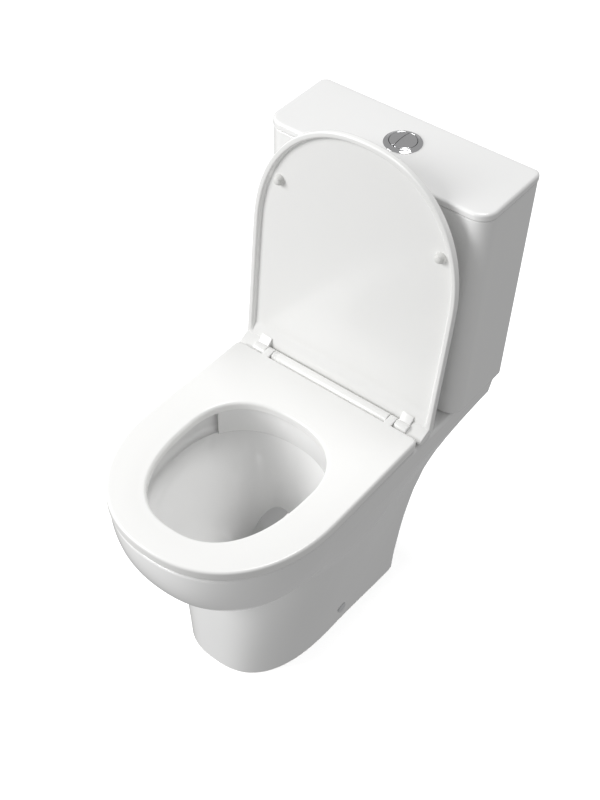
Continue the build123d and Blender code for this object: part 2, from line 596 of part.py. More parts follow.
# ---- threaded fixings ----------------------------------------------------------------------
def wing_nut(x, y, z_top, bore):
    """Plastic wing nut that hangs below z_top."""
    nut = tube(bore + 4.5, z_top - 11, z_top, x, y)
    nut += Pos(x, y, z_top - 8) * Box(2 * WING_SPAN, 4, 14)
    return nut - tube(bore, z_top - 20, z_top + 1, x, y)


def bolt(x, y, z_head, head_r, head_height, shank_r, z_end):
    """Bolt with its head on top of z_head and its shank running down."""
    return (tube(head_r, z_head, z_head + head_height, x, y)
            + tube(shank_r, z_end, z_head + 1, x, y))


def make_bracket(sign):
    """L-shaped steel bracket inside the pedestal: a foot on the floor and an upright tab."""
    inner = FOOT_HALF_WIDTH - CERAMIC_WALL - TOUCH_GAP
    low, high = SIDE_SCREW_Y - BRACKET_WIDTH / 2, SIDE_SCREW_Y + BRACKET_WIDTH / 2
    foot = block(FLOOR_HOLE_X - 16, inner, low, high, 0, BRACKET_SHEET)
    tab = block(inner - BRACKET_SHEET, inner, low, high, 0, SIDE_SCREW_Z + 12)
    shape = foot + tab - tube(FLOOR_HOLE_R, -1, BRACKET_SHEET + 1, FLOOR_HOLE_X, SIDE_SCREW_Y)
    shape -= rod_x(SIDE_SCREW_R, inner - 10, inner + 10, SIDE_SCREW_Y, SIDE_SCREW_Z)
    return mirrored(sign, shape)


SIDE_FACE_X = pedestal_half_width(SIDE_SCREW_Z) - 1.0   # bottom of the shallow cap pocket


def make_side_screw(sign):
    inner = FOOT_HALF_WIDTH - CERAMIC_WALL - 12
    screw = rod_x(SIDE_SCREW_R, inner, SIDE_FACE_X, SIDE_SCREW_Y, SIDE_SCREW_Z)
    screw += rod_x(SIDE_SCREW_R + 2.5, SIDE_FACE_X, SIDE_FACE_X + 1.5, SIDE_SCREW_Y,
                   SIDE_SCREW_Z)
    return mirrored(sign, screw)


def make_side_cap(sign):
    cap = rod_x(SIDE_CAP_R, SIDE_FACE_X, SIDE_FACE_X + SIDE_CAP_THICKNESS, SIDE_SCREW_Y,
                SIDE_SCREW_Z)
    cap -= rod_x(SIDE_SCREW_R + 2.6, SIDE_FACE_X - 1, SIDE_FACE_X + 1.6, SIDE_SCREW_Y,
                 SIDE_SCREW_Z)
    return mirrored(sign, cap)


# ---- seat, cover and hinge -----------------------------------------------------------------
def seat_plan(inset, z, overhang=0.0, extra_width=0.0, rear=SEAT_REAR_Y):
    """Outline shared by seat and cover: round nose, nearly parallel sides, straight rear."""
    return horseshoe_face(SEAT_HALF_WIDTH + extra_width - inset,
                          SEAT_WIDEST_Y - SEAT_FRONT_Y + overhang - inset,
                          SEAT_REAR_HALF_WIDTH + extra_width - inset, rear - inset, 10.0,
                          SEAT_POWER, SEAT_WIDEST_Y, z)


def make_seat():
    ring = extrude(seat_plan(0, SEAT_UNDER_Z), SEAT_THICKNESS, dir=(0, 0, 1))
    ring = fillet(ring.faces().sort_by(Axis.Z)[-1].edges(), SEAT_EDGE_R)
    ring -= extrude(oval_face(HOLE_HALF_WIDTH, HOLE_FRONT, HOLE_REAR, HOLE_POWER, HOLE_CENTRE_Y,
                              SEAT_UNDER_Z - 1), SEAT_THICKNESS + 2, dir=(0, 0, 1))
    for _, sign in SIDES:
        low, high = sorted((sign * EAR_X, sign * (EAR_X + EAR_WIDTH)))
        ear = rod_x(KNUCKLE_R, low, high, HINGE_Y, HINGE_Z)
        ear += block(low, high, SEAT_REAR_Y - 8, HINGE_Y, SEAT_UNDER_Z, HINGE_Z + 8)
        ring += ear
    for _, sign in SIDES:
        low, high = sorted((sign * (EAR_X - 1), sign * (EAR_X + EAR_WIDTH + 1)))
        ring -= rod_x(PIN_R + PIN_RUNNING, low, high, HINGE_Y, HINGE_Z)
    return ring


def make_seat_buffers():
    """Four pads under the seat that rest on the rim."""
    pads = []
    for _, sign in SIDES:
        for y, turn in ((-205.0, 24.0), (20.0, 0.0)):
            x = sign * (150.0 if y > -100 else 141.0)
            pad = Box(BUFFER_WIDTH, BUFFER_LENGTH, SEAT_GAP - TOUCH_GAP)
            pads.append(Pos(x, y, RIM_Z + (SEAT_GAP + TOUCH_GAP) / 2) * Rot(0, 0, -sign * turn) * pad)
    return Compound(pads)


def raised(shape):
    """Swing a piece of the closed cover up to its open rest position."""
    return shape.rotate(Axis((0, HINGE_Y, HINGE_Z), (1, 0, 0)), -OPEN_ANGLE)


def make_cover():
    rear = HINGE_Y + LID_TAIL
    wide = LID_HALF_WIDTH - SEAT_HALF_WIDTH
    shell = extrude(seat_plan(0, LID_UNDER_Z, LID_OVERHANG, wide, rear), LID_DEPTH, dir=(0, 0, 1))
    shell = fillet(shell.faces().sort_by(Axis.Z)[-1].edges(), SEAT_EDGE_R)
    shell -= extrude(seat_plan(LID_LIP_WIDTH, LID_UNDER_Z - 1, LID_OVERHANG, wide, rear + 9),
                     LID_DEPTH - LID_PLATE + 1, dir=(0, 0, 1))
    for _, sign in SIDES:
        low, high = sorted((sign * KNUCKLE_X, sign * (KNUCKLE_X + KNUCKLE_WIDTH)))
        shell += rod_x(KNUCKLE_R, low, high, HINGE_Y, HINGE_Z)
        shell += block(low, high, HINGE_Y - KNUCKLE_R, HINGE_Y + LID_TAIL, HINGE_Z,
                       LID_UNDER_Z + LID_DEPTH - LID_PLATE + 1)
    for _, sign in SIDES:
        low, high = sorted((sign * (KNUCKLE_X - 1), sign * (KNUCKLE_X + KNUCKLE_WIDTH - 4)))
        shell -= rod_x(PIN_R + PIN_RUNNING, low, high, HINGE_Y, HINGE_Z)
    return raised(shell)


def make_cover_buffers():
    """Two round pads on the cover's inner face that meet the seat."""
    top = LID_UNDER_Z + LID_DEPTH - LID_PLATE
    pads = [tube(LID_BUFFER_R, SEAT_TOP_Z + TOUCH_GAP, top, sign * LID_BUFFER_X,
                 HINGE_Y - LID_BUFFER_DISTANCE) for _, sign in SIDES]
    return Compound([raised(pad) for pad in pads])


def make_hinge_bar():
    """Round bar between the seat's ears, on two feet, with a blind bore for each damper."""
    bar = rod_x(BAR_R, -BAR_HALF_LENGTH, BAR_HALF_LENGTH, HINGE_Y, HINGE_Z)
    for _, sign in SIDES:
        x = sign * SEAT_BOLT_X
        bar += tube(BAR_R - 1, RIM_Z, HINGE_Z, x, HINGE_Y)
    for _, sign in SIDES:
        low, high = sorted((sign * (BAR_HALF_LENGTH - DAMPER_LENGTH - 2), sign * (BAR_HALF_LENGTH + 1)))
        bar -= rod_x(DAMPER_R, low, high, HINGE_Y, HINGE_Z)
        bar -= tube(SEAT_BOLT_R, RIM_Z - 1, HINGE_Z - DAMPER_R + 1, sign * SEAT_BOLT_X, HINGE_Y)
    return bar


def make_damper(sign):
    low, high = BAR_HALF_LENGTH - DAMPER_LENGTH - 2, BAR_HALF_LENGTH
    body = rod_x(DAMPER_R, low, high - PIN_R, HINGE_Y, HINGE_Z)
    return mirrored(sign, body)


def make_hinge_pin(sign):
    start = BAR_HALF_LENGTH - PIN_R
    pin = rod_x(PIN_R, start, KNUCKLE_X + KNUCKLE_WIDTH - 5, HINGE_Y, HINGE_Z)
    pin += rod_x(DAMPER_R, start, BAR_HALF_LENGTH - 0.5, HINGE_Y, HINGE_Z)
    return mirrored(sign, pin)


# ---- assembly ------------------------------------------------------------------------------
def make_nodes():
    y = CISTERN_MID_Y
    x_split, slit = BUTTON_SPLIT_X, BUTTON_SLIT / 2
    nodes = {
        "pan": make_pan(),
        "cistern": make_cistern(),
        "cistern_cover": make_cistern_cover(),
        "button_bezel": make_button_bezel(),
        "bezel_nut": make_bezel_nut(),
        "full_button": make_button(x_split + slit, BUTTON_R + 1),
        "half_button": make_button(-BUTTON_R - 1, x_split - slit),
        "full_push_rod": tube(ROD_R, ROD_END_Z, BUTTON_UNDER_Z, FULL_ROD_X, y),
        "half_push_rod": tube(ROD_R, ROD_END_Z, BUTTON_UNDER_Z, HALF_ROD_X, y),
        "full_spring": make_spring(FULL_ROD_X),
        "half_spring": make_spring(HALF_ROD_X),
        "flush_valve_base": make_valve_base(),
        "flush_valve_cage": make_valve_cage(),
        "riser_tube": make_riser(),
        "flush_seal": tube(OUTLET_TAIL_R + 1, VALVE_SEAT_Z, VALVE_SEAT_Z + SEAL_THICKNESS, 0, y,
                           RISER_R - RISER_WALL),
        "flush_valve_nut": tube(HORN_R - 6, RIM_Z - 10, RIM_Z, 0, y, OUTLET_TAIL_R),
        "doughnut_washer": tube(DOUGHNUT_R, DECK_UNDER_Z - HORN_DEPTH, RIM_Z - 10, 0, y, OUTLET_TAIL_R),
        "fill_valve_body": make_fill_valve_body(),
        "fill_valve_head": make_fill_valve_head(),
        "fill_lever": make_fill_lever(),
        "float_cup": make_float(),
        "float_rod": make_float_rod(),
        "inlet_washer": tube(16.0, TANK_FLOOR_Z, TANK_FLOOR_Z + 2, INLET_X, y, INLET_TAIL_R),
        "inlet_nut": tube(INLET_TAIL_R + 6, RIM_Z - 9, RIM_Z, INLET_X, y, INLET_TAIL_R),
        "seat": make_seat(),
        "seat_buffers": make_seat_buffers(),
        "seat_cover": make_cover(),
        "cover_buffers": make_cover_buffers(),
        "hinge_bar": make_hinge_bar(),
    }
    for side, sign in SIDES:
        x = sign * CISTERN_BOLT_X
        washer_z = TANK_FLOOR_Z + 3
        nodes["cistern_bolt_" + side] = bolt(x, y, washer_z, 8, 5, CISTERN_BOLT_R, 345)
        nodes["cistern_bolt_seal_" + side] = tube(11, TANK_FLOOR_Z, washer_z, x, y, CISTERN_BOLT_R)
        nodes["cistern_bolt_washer_" + side] = tube(10, DECK_UNDER_Z - 2, DECK_UNDER_Z, x, y,
                                                    CISTERN_BOLT_R)
        nodes["cistern_wing_nut_" + side] = wing_nut(x, y, DECK_UNDER_Z - 2, CISTERN_BOLT_R)
        x = sign * SEAT_BOLT_X
        nodes["seat_bolt_" + side] = tube(SEAT_BOLT_R, 362, HINGE_Z - DAMPER_R, x, HINGE_Y)
        nodes["seat_bolt_washer_" + side] = tube(10, DECK_UNDER_Z - 4, DECK_UNDER_Z, x, HINGE_Y,
                                                 SEAT_BOLT_R)
        nodes["seat_wing_nut_" + side] = wing_nut(x, HINGE_Y, DECK_UNDER_Z - 4, SEAT_BOLT_R)
        nodes["hinge_damper_" + side] = make_damper(sign)
        nodes["hinge_pin_" + side] = make_hinge_pin(sign)
        nodes["floor_bracket_" + side] = make_bracket(sign)
        nodes["side_screw_" + side] = make_side_screw(sign)
        nodes["side_cap_" + side] = make_side_cap(sign)
    return nodes


os.makedirs("parts", exist_ok=True)
for name, shape in make_nodes().items():
    export_step(shape, "parts/" + name + ".step")
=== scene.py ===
"""Close coupled toilet: glazed pan and cistern, seat set, flush button and inner fittings."""
import json
import math

import bpy
import numpy as np
from bpy.props import FloatProperty, FloatVectorProperty, PointerProperty
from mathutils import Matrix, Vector

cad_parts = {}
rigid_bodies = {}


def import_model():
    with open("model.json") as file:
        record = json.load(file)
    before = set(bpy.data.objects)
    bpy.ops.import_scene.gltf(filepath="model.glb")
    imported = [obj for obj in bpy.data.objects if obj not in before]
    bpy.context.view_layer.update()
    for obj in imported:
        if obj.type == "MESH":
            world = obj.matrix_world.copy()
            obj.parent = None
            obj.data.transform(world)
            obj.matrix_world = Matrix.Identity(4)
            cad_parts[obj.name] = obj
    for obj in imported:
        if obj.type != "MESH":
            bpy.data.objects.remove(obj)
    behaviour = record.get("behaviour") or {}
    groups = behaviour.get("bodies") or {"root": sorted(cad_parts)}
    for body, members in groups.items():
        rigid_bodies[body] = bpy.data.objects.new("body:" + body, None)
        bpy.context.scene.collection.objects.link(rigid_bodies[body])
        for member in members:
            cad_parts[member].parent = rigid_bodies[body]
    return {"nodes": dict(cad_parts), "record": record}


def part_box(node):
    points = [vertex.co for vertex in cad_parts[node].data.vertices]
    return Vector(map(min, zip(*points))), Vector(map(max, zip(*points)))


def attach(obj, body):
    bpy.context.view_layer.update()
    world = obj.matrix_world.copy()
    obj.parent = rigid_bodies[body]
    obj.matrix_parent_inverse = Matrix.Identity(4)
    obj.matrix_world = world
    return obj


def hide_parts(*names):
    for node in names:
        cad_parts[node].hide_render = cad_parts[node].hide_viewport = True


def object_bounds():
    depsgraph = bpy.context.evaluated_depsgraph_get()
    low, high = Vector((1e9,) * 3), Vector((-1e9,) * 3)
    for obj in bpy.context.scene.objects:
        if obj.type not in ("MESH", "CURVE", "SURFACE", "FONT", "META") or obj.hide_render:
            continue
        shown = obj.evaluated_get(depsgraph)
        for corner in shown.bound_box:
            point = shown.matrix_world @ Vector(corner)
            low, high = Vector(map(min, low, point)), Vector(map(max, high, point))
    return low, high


bl_info = {
    "name": "Close Coupled Toilet",
    "version": (1, 0, 0),
    "blender": (4, 5, 0),
    "location": "View3D > Sidebar > Toilet",
    "description": "Builds the visible surfaces and finishes of a close coupled toilet",
    "category": "Object",
}

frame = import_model()
CAD_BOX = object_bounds()
MM = 0.001
COLUMNS = 384                   # points round a ceramic or plastic outline
PAN_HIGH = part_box("pan")[1]
TANK_LOW, TANK_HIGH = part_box("cistern")
COVER_LOW, COVER_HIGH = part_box("cistern_cover")
BAR_LOW, BAR_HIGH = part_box("hinge_bar")
BEZEL_LOW, BEZEL_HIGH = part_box("button_bezel")
RIM_Z = PAN_HIGH[2]
HINGE = Vector((0.0, (BAR_LOW[1] + BAR_HIGH[1]) / 2,
                BAR_HIGH[2] - (BAR_HIGH[1] - BAR_LOW[1]) / 2))
BUTTON_CENTRE = Vector((0.0, (BEZEL_LOW[1] + BEZEL_HIGH[1]) / 2, COVER_HIGH[2]))
SEAT_TOP = RIM_Z + 0.021
SIDES = (("left", -1), ("right", 1))
OVAL_POWER = 2.24               # squareness of the bowl's ovals
FRONT_CORNER = 0.027            # cistern's corner radii in plan
BACK_CORNER = 0.012
BAR_RADIUS = 0.0105             # hinge bar, arms and knuckles
PIN_BORE = 0.00406
LID_GROWTH = 0.0026             # lid past the seat's outline
LID_CORNER = 0.014


def length(name, description, default):
    """A size in metres with its name, description and default."""
    return FloatProperty(name=name, description=description, default=default, unit="LENGTH",
                         precision=4)


def tint(name, description, default):
    """A colour with its name, description and default."""
    return FloatVectorProperty(name=name, description=description, default=default, subtype="COLOR",
                               min=0.0, max=1.0)


class PanSizes(bpy.types.PropertyGroup):
    """Sizes of the ceramic pan."""
    foot_half_width: length("Foot half width", "Half width of the pedestal on the floor", 0.1137)
    foot_front: length("Foot front", "Front of the pedestal from the frame's origin", 0.186)
    foot_rear_half_width: length("Foot rear half width", "Half width at the foot's rear", 0.118)
    foot_rear: length("Foot rear", "Rear of the pedestal from the frame's origin", 0.1675)
    deck_half_width: length("Deck half width", "Half width of the flat deck", 0.178)
    deck_edge: length("Deck edge", "Height of the deck's upright rear edge", 0.040)
    rear_corner: length("Rear corner", "Radius of the deck's rear corners", 0.006)
    rim_half_width: length("Rim half width", "Half width of the bowl's rim", 0.1775)
    rim_front: length("Rim front", "Front of the bowl's rim from the frame's origin", 0.3175)
    bowl_centre: length("Bowl centre", "Distance of the bowl's widest place forward", 0.105)
    bowl_depth: length("Bowl depth", "Depth at which the outer bowl closes", 0.205)
    mouth_half_width: length("Mouth half width", "Half width of the bowl's opening", 0.138)
    mouth_front: length("Mouth front", "Front length of the opening", 0.180)
    mouth_rear: length("Mouth rear", "Rear length of the opening", 0.140)
    band_depth: length("Band depth", "Height of the upright band below the rim", 0.050)
    ledge: length("Ledge", "Step in from the band to the slope", 0.008)
    sump_z: length("Sump height", "Height of the sump's floor", 0.132)
    wall: length("Wall", "Thickness of the ceramic", 0.012)
    rim_round: length("Rim rounding", "Radius along the rim's edges", 0.006)


class SeatSizes(bpy.types.PropertyGroup):
    """Sizes of the seat ring, its cover and their hinge."""
    half_width: length("Half width", "Half width of the seat", 0.180)
    front: length("Front", "Length from the widest place to the front tip", 0.207)
    widest: length("Widest place", "Distance of the widest place forward", 0.113)
    hole_half_width: length("Hole half width", "Half width of the seat's hole", 0.1147)
    hole_front: length("Hole front", "Front length of the hole", 0.1714)
    hole_rear: length("Hole rear", "Rear length of the hole", 0.1078)
    hole_centre: length("Hole centre", "Distance of the hole's centre forward", 0.0935)
    edge: length("Edge rounding", "Radius along the seat's outer edge", 0.0045)
    cover_lift: length("Cover lift", "Height of the closed cover above the seat", 0.003)
    cover_depth: length("Cover depth", "Depth of the cover with its lip", 0.015)
    cover_plate: length("Cover plate", "Thickness of the cover inside its lip", 0.007)
    lip_width: length("Lip width", "Width of the cover's lip", 0.009)
    buffer_distance: length("Buffer distance", "From the hinge axis to the cover's buffers", 0.310)
    buffer_x: length("Buffer offset", "Sideways place of the cover's buffers", 0.143)


class FinishColours(bpy.types.PropertyGroup):
    """Colours of the finishes."""
    glaze: tint("Glaze", "Colour of the glazed ceramic", (0.90, 0.90, 0.895))
    biscuit: tint("Biscuit", "Colour of bare fired clay", (0.62, 0.58, 0.52))
    seat: tint("Seat", "Colour of the seat's plastic", (0.81, 0.81, 0.805))
    chrome: tint("Chrome", "Colour of the plated button", (0.78, 0.78, 0.79))
    fitting: tint("Fitting", "Colour of the valves' plastic", (0.80, 0.81, 0.82))
    accent: tint("Accent", "Colour of the valves' moving plastic", (0.10, 0.24, 0.46))
    rubber: tint("Rubber", "Colour of the black rubber", (0.018, 0.018, 0.02))
    buffer: tint("Buffer", "Colour of the pale buffers", (0.78, 0.78, 0.77))
    steel: tint("Steel", "Colour of the stainless steel", (0.56, 0.56, 0.57))
    brass: tint("Brass", "Colour of the brass nut", (0.62, 0.44, 0.17))
    cap: tint("Cap", "Colour of the screw caps", (0.62, 0.63, 0.64))
    floor: tint("Floor", "Colour of the studio floor", (1.0, 1.0, 1.0))


# ---- surfaces ------------------------------------------------------------------------------
def superellipse_radius(phi, half_x, half_y, power):
    """Polar radius of |x/a|^n + |y/b|^n = 1."""
    return ((np.abs(np.cos(phi)) / half_x) ** power
            + (np.abs(np.sin(phi)) / half_y) ** power) ** (-1 / power)


def oval(phi, half_width, front, rear, power, centre_y, z):
    """Rings of ovals: a superellipse with its own half length before and behind its centre."""
    half_y = np.where(np.sin(phi) < 0, front, rear)
    radius = superellipse_radius(phi, half_width, half_y, power)
    return ring_points(phi, radius, centre_y, z)


def ring_points(phi, radius, centre_y, z):
    """Points at polar angle phi and a radius round (0, centre_y), at height z."""
    return np.stack(np.broadcast_arrays(radius * np.cos(phi), centre_y + radius * np.sin(phi), z),
                    axis=-1)


def horseshoe_radius(phi, half_width, front, rear_half_width, rear, corner, power):
    """Polar radius of a superellipse front, sides that run smoothly from one half width to
    the other, and a straight rear with corners of a true radius."""
    c, s = np.abs(np.cos(phi)) + 1e-9, np.sin(phi)
    nose = superellipse_radius(phi, half_width, front, power)
    side_width = half_width * np.ones_like(s * rear)
    for _ in range(4):
        share = np.clip(side_width / c * s / rear, 0, 1)
        side_width = half_width + (rear_half_width - half_width) * share * share * (3 - 2 * share)
    straight = np.minimum(side_width / c, rear / np.maximum(s, 1e-9))
    centre_x, centre_y = rear_half_width - corner, rear - corner
    along = centre_x * c + centre_y * s
    inside = np.maximum(along ** 2 - centre_x ** 2 - centre_y ** 2 + corner ** 2, 0)
    arc = along + np.sqrt(inside)
    at_corner = (arc * c > centre_x) & (arc * s > centre_y)
    return np.where(s < 0, nose, np.where(at_corner, arc, straight))


def columns(corner_x, corner_y, count=COLUMNS):
    """Polar angles round an outline, closer together near its two rear corners."""
    fine = np.linspace(-math.pi, math.pi, 4001)
    place = math.atan2(corner_y, corner_x)
    weight = np.ones_like(fine)
    for angle in (place, math.pi - place):
        weight += 7 * np.exp(-((fine - angle) / 0.05) ** 2)
    total = np.concatenate([[0], np.cumsum((weight[1:] + weight[:-1]) / 2)])
    return np.interp(np.arange(count) / count, total / total[-1], fine)


def grid_mesh(name, grid, closed_rows=False):
    """Closed mesh from a grid of points: its columns go round, and its rows either go round
    too or end in a pole at each end."""
    rows, cols = grid.shape[:2]
    last = rows if closed_rows else rows - 1
    i, j = np.arange(last)[:, None], np.arange(cols)[None, :]
    below, above = i * cols, (i + 1) % rows * cols
    quads = np.stack(np.broadcast_arrays(below + j, below + (j + 1) % cols,
                                         above + (j + 1) % cols, above + j), axis=-1)
    points = grid.reshape(-1, 3)
    faces = quads.reshape(-1, 4).tolist()
    if not closed_rows:
        points = np.concatenate([points, [grid[0].mean(axis=0), grid[-1].mean(axis=0)]])
        step = np.arange(cols)
        end = (rows - 1) * cols
        faces += np.stack([np.full(cols, len(points) - 2), (step + 1) % cols, step], 1).tolist()
        faces += np.stack([np.full(cols, len(points) - 1), end + step,
                           end + (step + 1) % cols], 1).tolist()
    corners = points[quads.reshape(-1, 4)]
    volume = sum(np.einsum("ij,ij->i", corners[:, 0], np.cross(corners[:, a], corners[:, b])).sum()
                 for a, b in ((1, 2), (2, 3)))
    if volume < 0:
        faces = [face[::-1] for face in faces]
    mesh = bpy.data.meshes.new(name)
    mesh.from_pydata(points.tolist(), [], faces)
    mesh.update()
    return mesh


def add_piece(name, grid, material, body, replaces=(), closed_rows=False, sharp=None):
    """A smooth shaded piece made of one grid, on its body, with its finish."""
    mesh = grid_mesh(name, grid, closed_rows)
    mesh.materials.append(material)
    mesh.shade_smooth()
    if sharp:
        mesh.set_sharp_from_angle(angle=math.radians(sharp))
    piece = bpy.data.objects.new(name, mesh)
    bpy.context.scene.collection.objects.link(piece)
    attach(piece, body)
    if replaces:
        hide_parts(*replaces)
    return piece


def quarter(count):
    """Angles of a rounding, from zero to a right angle."""
    return np.linspace(0.0, math.pi / 2, count)


def revolve(profile, x, y, count=96):
    """Rings of a profile of (radius, z) pairs turned round an upright axis."""
    turn = np.linspace(0, 2 * math.pi, count, endpoint=False)
    profile = np.asarray(profile, dtype=float)
    radius, z = profile[:, :1], profile[:, 1:]
    return np.stack(np.broadcast_arrays(x + radius * np.cos(turn), y + radius * np.sin(turn), z),
                    axis=-1)


def lying(grid):
    """The same rings with their upright axis laid along X."""
    return grid[..., [2, 1, 0]] * np.array([1.0, 1.0, -1.0])


def rounded_profile(points, radius, steps=4):
    """Closed profile through corner points, each corner turned by a small arc."""
    points = np.asarray(points, dtype=float)
    before, after = np.roll(points, 1, axis=0), np.roll(points, -1, axis=0)
    to_before, to_after = before - points, after - points
    reach = np.minimum(np.linalg.norm(to_before, axis=1), np.linalg.norm(to_after, axis=1)) * 0.45
    reach = np.minimum(reach, radius)[:, None]
    start = points + to_before / np.linalg.norm(to_before, axis=1)[:, None] * reach
    end = points + to_after / np.linalg.norm(to_after, axis=1)[:, None] * reach
    t = np.linspace(0, 1, steps + 1)[None, :, None]
    arcs = start[:, None] * (1 - t) ** 2 + 2 * points[:, None] * t * (1 - t) + end[:, None] * t * t
    return arcs.reshape(-1, 2)


def tube_along(path, outer, inner, count=48):
    """Pipe wall along a path in the YZ plane: rings of the outer radius one way and of the
    inner radius back, closed at both ends."""
    path = np.asarray(path)
    way = np.gradient(path, axis=0)
    way /= np.linalg.norm(way, axis=1)[:, None]
    turn = np.linspace(0, 2 * math.pi, count, endpoint=False)
    rings = []
    for radius, order in ((outer, 1), (inner, -1)):
        spine, along = path[::order], way[::order]
        x = radius * np.cos(turn)[None, :] + 0 * along[:, :1]
        rise = radius * np.sin(turn)[None, :]
        y = spine[:, :1] - along[:, 1:] * rise
        z = spine[:, 1:] + along[:, :1] * rise
        rings.append(np.stack([x, y, z], axis=-1))
    return np.concatenate(rings)


def rounded_path(points, radius, steps=14):
    """Open path in a plane with straight runs joined by tangent arcs of one radius."""
    path = [np.asarray(points[0], dtype=float)]
    for before, here, after in zip(points, points[1:], points[2:]):
        a, p, b = (np.asarray(q, dtype=float) for q in (before, here, after))
        u, v = (a - p) / np.linalg.norm(a - p), (b - p) / np.linalg.norm(b - p)
        half = math.acos(np.clip(u @ v, -1, 1)) / 2
        centre = p + (u + v) / np.linalg.norm(u + v) * radius / math.sin(half)
        first, last = p + u * radius / math.tan(half), p + v * radius / math.tan(half)
        blend = np.linspace(0, 1, steps)[:, None]
        spokes = (first - centre) * (1 - blend) + (last - centre) * blend
        path.extend(centre + spokes / np.linalg.norm(spokes, axis=1)[:, None] * radius)
    path.append(np.asarray(points[-1], dtype=float))
    return np.array(path)


def cut(piece, cutters):
    """Cuts closed grids out of a piece; each cutter is a (grid, closed rows) pair."""
    holder = bpy.data.collections.new(piece.name + "_cutters")
    tools = []
    for number, (grid, closed_rows) in enumerate(cutters):
        mesh = grid_mesh(f"{piece.name}_cutter_{number}", grid, closed_rows)
        tool = bpy.data.objects.new(mesh.name, mesh)
        holder.objects.link(tool)
        tools.append(tool)
    bpy.context.scene.collection.children.link(holder)
    modifier = piece.modifiers.new("Holes", "BOOLEAN")
    modifier.operation = "DIFFERENCE"
    modifier.solver = "EXACT"
    modifier.operand_type = "COLLECTION"
    modifier.collection = holder
    depsgraph = bpy.context.evaluated_depsgraph_get()
    mesh = bpy.data.meshes.new_from_object(piece.evaluated_get(depsgraph))
    piece.modifiers.clear()
    piece.data = mesh
    mesh.set_sharp_from_angle(angle=math.radians(40))
    for tool in tools:
        bpy.data.objects.remove(tool)
    bpy.data.collections.remove(holder)


def upright_cutter(radius, x, y, z_low, z_high, count=32):
    """Upright cylinder that cuts a hole."""
    return revolve([(radius * 1e-3, z_low), (radius, z_low), (radius, z_high),
                    (radius * 1e-3, z_high)], x, y, count), False


# ---- finishes ------------------------------------------------------------------------------
class Value:
    """A shader socket that can be used in arithmetic."""

    def __init__(self, finish, socket):
        self.finish = finish
        self.socket = socket

    def maths(self, operation, *inputs):
        return self.finish.node("ShaderNodeMath", {"operation": operation}, *inputs)

    def __add__(self, other):
        return self.maths("ADD", self, other)

    __radd__ = __add__

    def __mul__(self, other):
        return self.maths("MULTIPLY", self, other)

    __rmul__ = __mul__


class Finish:
    """A node material under construction."""

    def __init__(self, name):
        self.material = bpy.data.materials.new(name)
        self.material.use_nodes = True
        self.tree = self.material.node_tree
        self.shader = self.tree.nodes["Principled BSDF"]

    def connect(self, socket, value):
        if isinstance(value, Value):
            self.tree.links.new(value.socket, socket)
        elif value is not None:
            socket.default_value = value

    def node(self, kind, settings, *inputs, output=0, **named):
        """A node with its settings, then its sockets in order or by name; gives one output."""
        node = self.tree.nodes.new(kind)
        for key, setting in settings.items():
            setattr(node, key, setting)
        for socket, value in zip(node.inputs, inputs):
            self.connect(socket, value)
        for key, value in named.items():
            self.connect(node.inputs[key.replace("_", " ")], value)
        return Value(self, node.outputs[output])

    def place(self, scale=(1.0, 1.0, 1.0)):
        """Object coordinates, stretched."""
        coordinates = self.node("ShaderNodeTexCoord", {}, output="Object")
        return self.node("ShaderNodeMapping", {}, Vector=coordinates, Scale=scale)

    def noise(self, scale, detail=2.0, stretch=(1.0, 1.0, 1.0), roughness=0.5):
        return self.node("ShaderNodeTexNoise", {}, Vector=self.place(stretch), Scale=scale,
                         Detail=detail, Roughness=roughness)

    def speckle(self, scale):
        """Distance to the nearest of many scattered points."""
        return self.node("ShaderNodeTexVoronoi", {}, Vector=self.place(), Scale=scale)

    def height(self):
        """Z of the point being shaded."""
        coordinates = self.node("ShaderNodeTexCoord", {}, output="Object")
        return self.node("ShaderNodeSeparateXYZ", {}, coordinates, output="Z")

    def between(self, value, low, high, low_result=0.0, high_result=1.0):
        """Value mapped smoothly from one range onto another."""
        return self.node("ShaderNodeMapRange", {"interpolation_type": "SMOOTHSTEP"}, value, low,
                         high, low_result, high_result)

    def blend(self, factor, first, second):
        """Colour mixed from the first to the second by a factor."""
        node = self.tree.nodes.new("ShaderNodeMix")
        node.data_type = "RGBA"
        for socket, value in ((0, factor), (6, first), (7, second)):
            self.connect(node.inputs[socket], value)
        return Value(self, node.outputs[2])

    def relief(self, height, depth, strength=1.0):
        """Normal from a bump of the given depth in metres."""
        normal = self.node("ShaderNodeBump", {}, Strength=strength, Distance=depth, Height=height)
        self.connect(self.shader.inputs["Normal"], normal)

    def set(self, **values):
        """Sets or links sockets of the shader."""
        for key, value in values.items():
            self.connect(self.shader.inputs[key.replace("_", " ")], value)


def shade(colour, factor):
    """Colour scaled by a number, with full alpha."""
    return tuple(min(1.0, channel * factor) for channel in colour[:3]) + (1.0,)


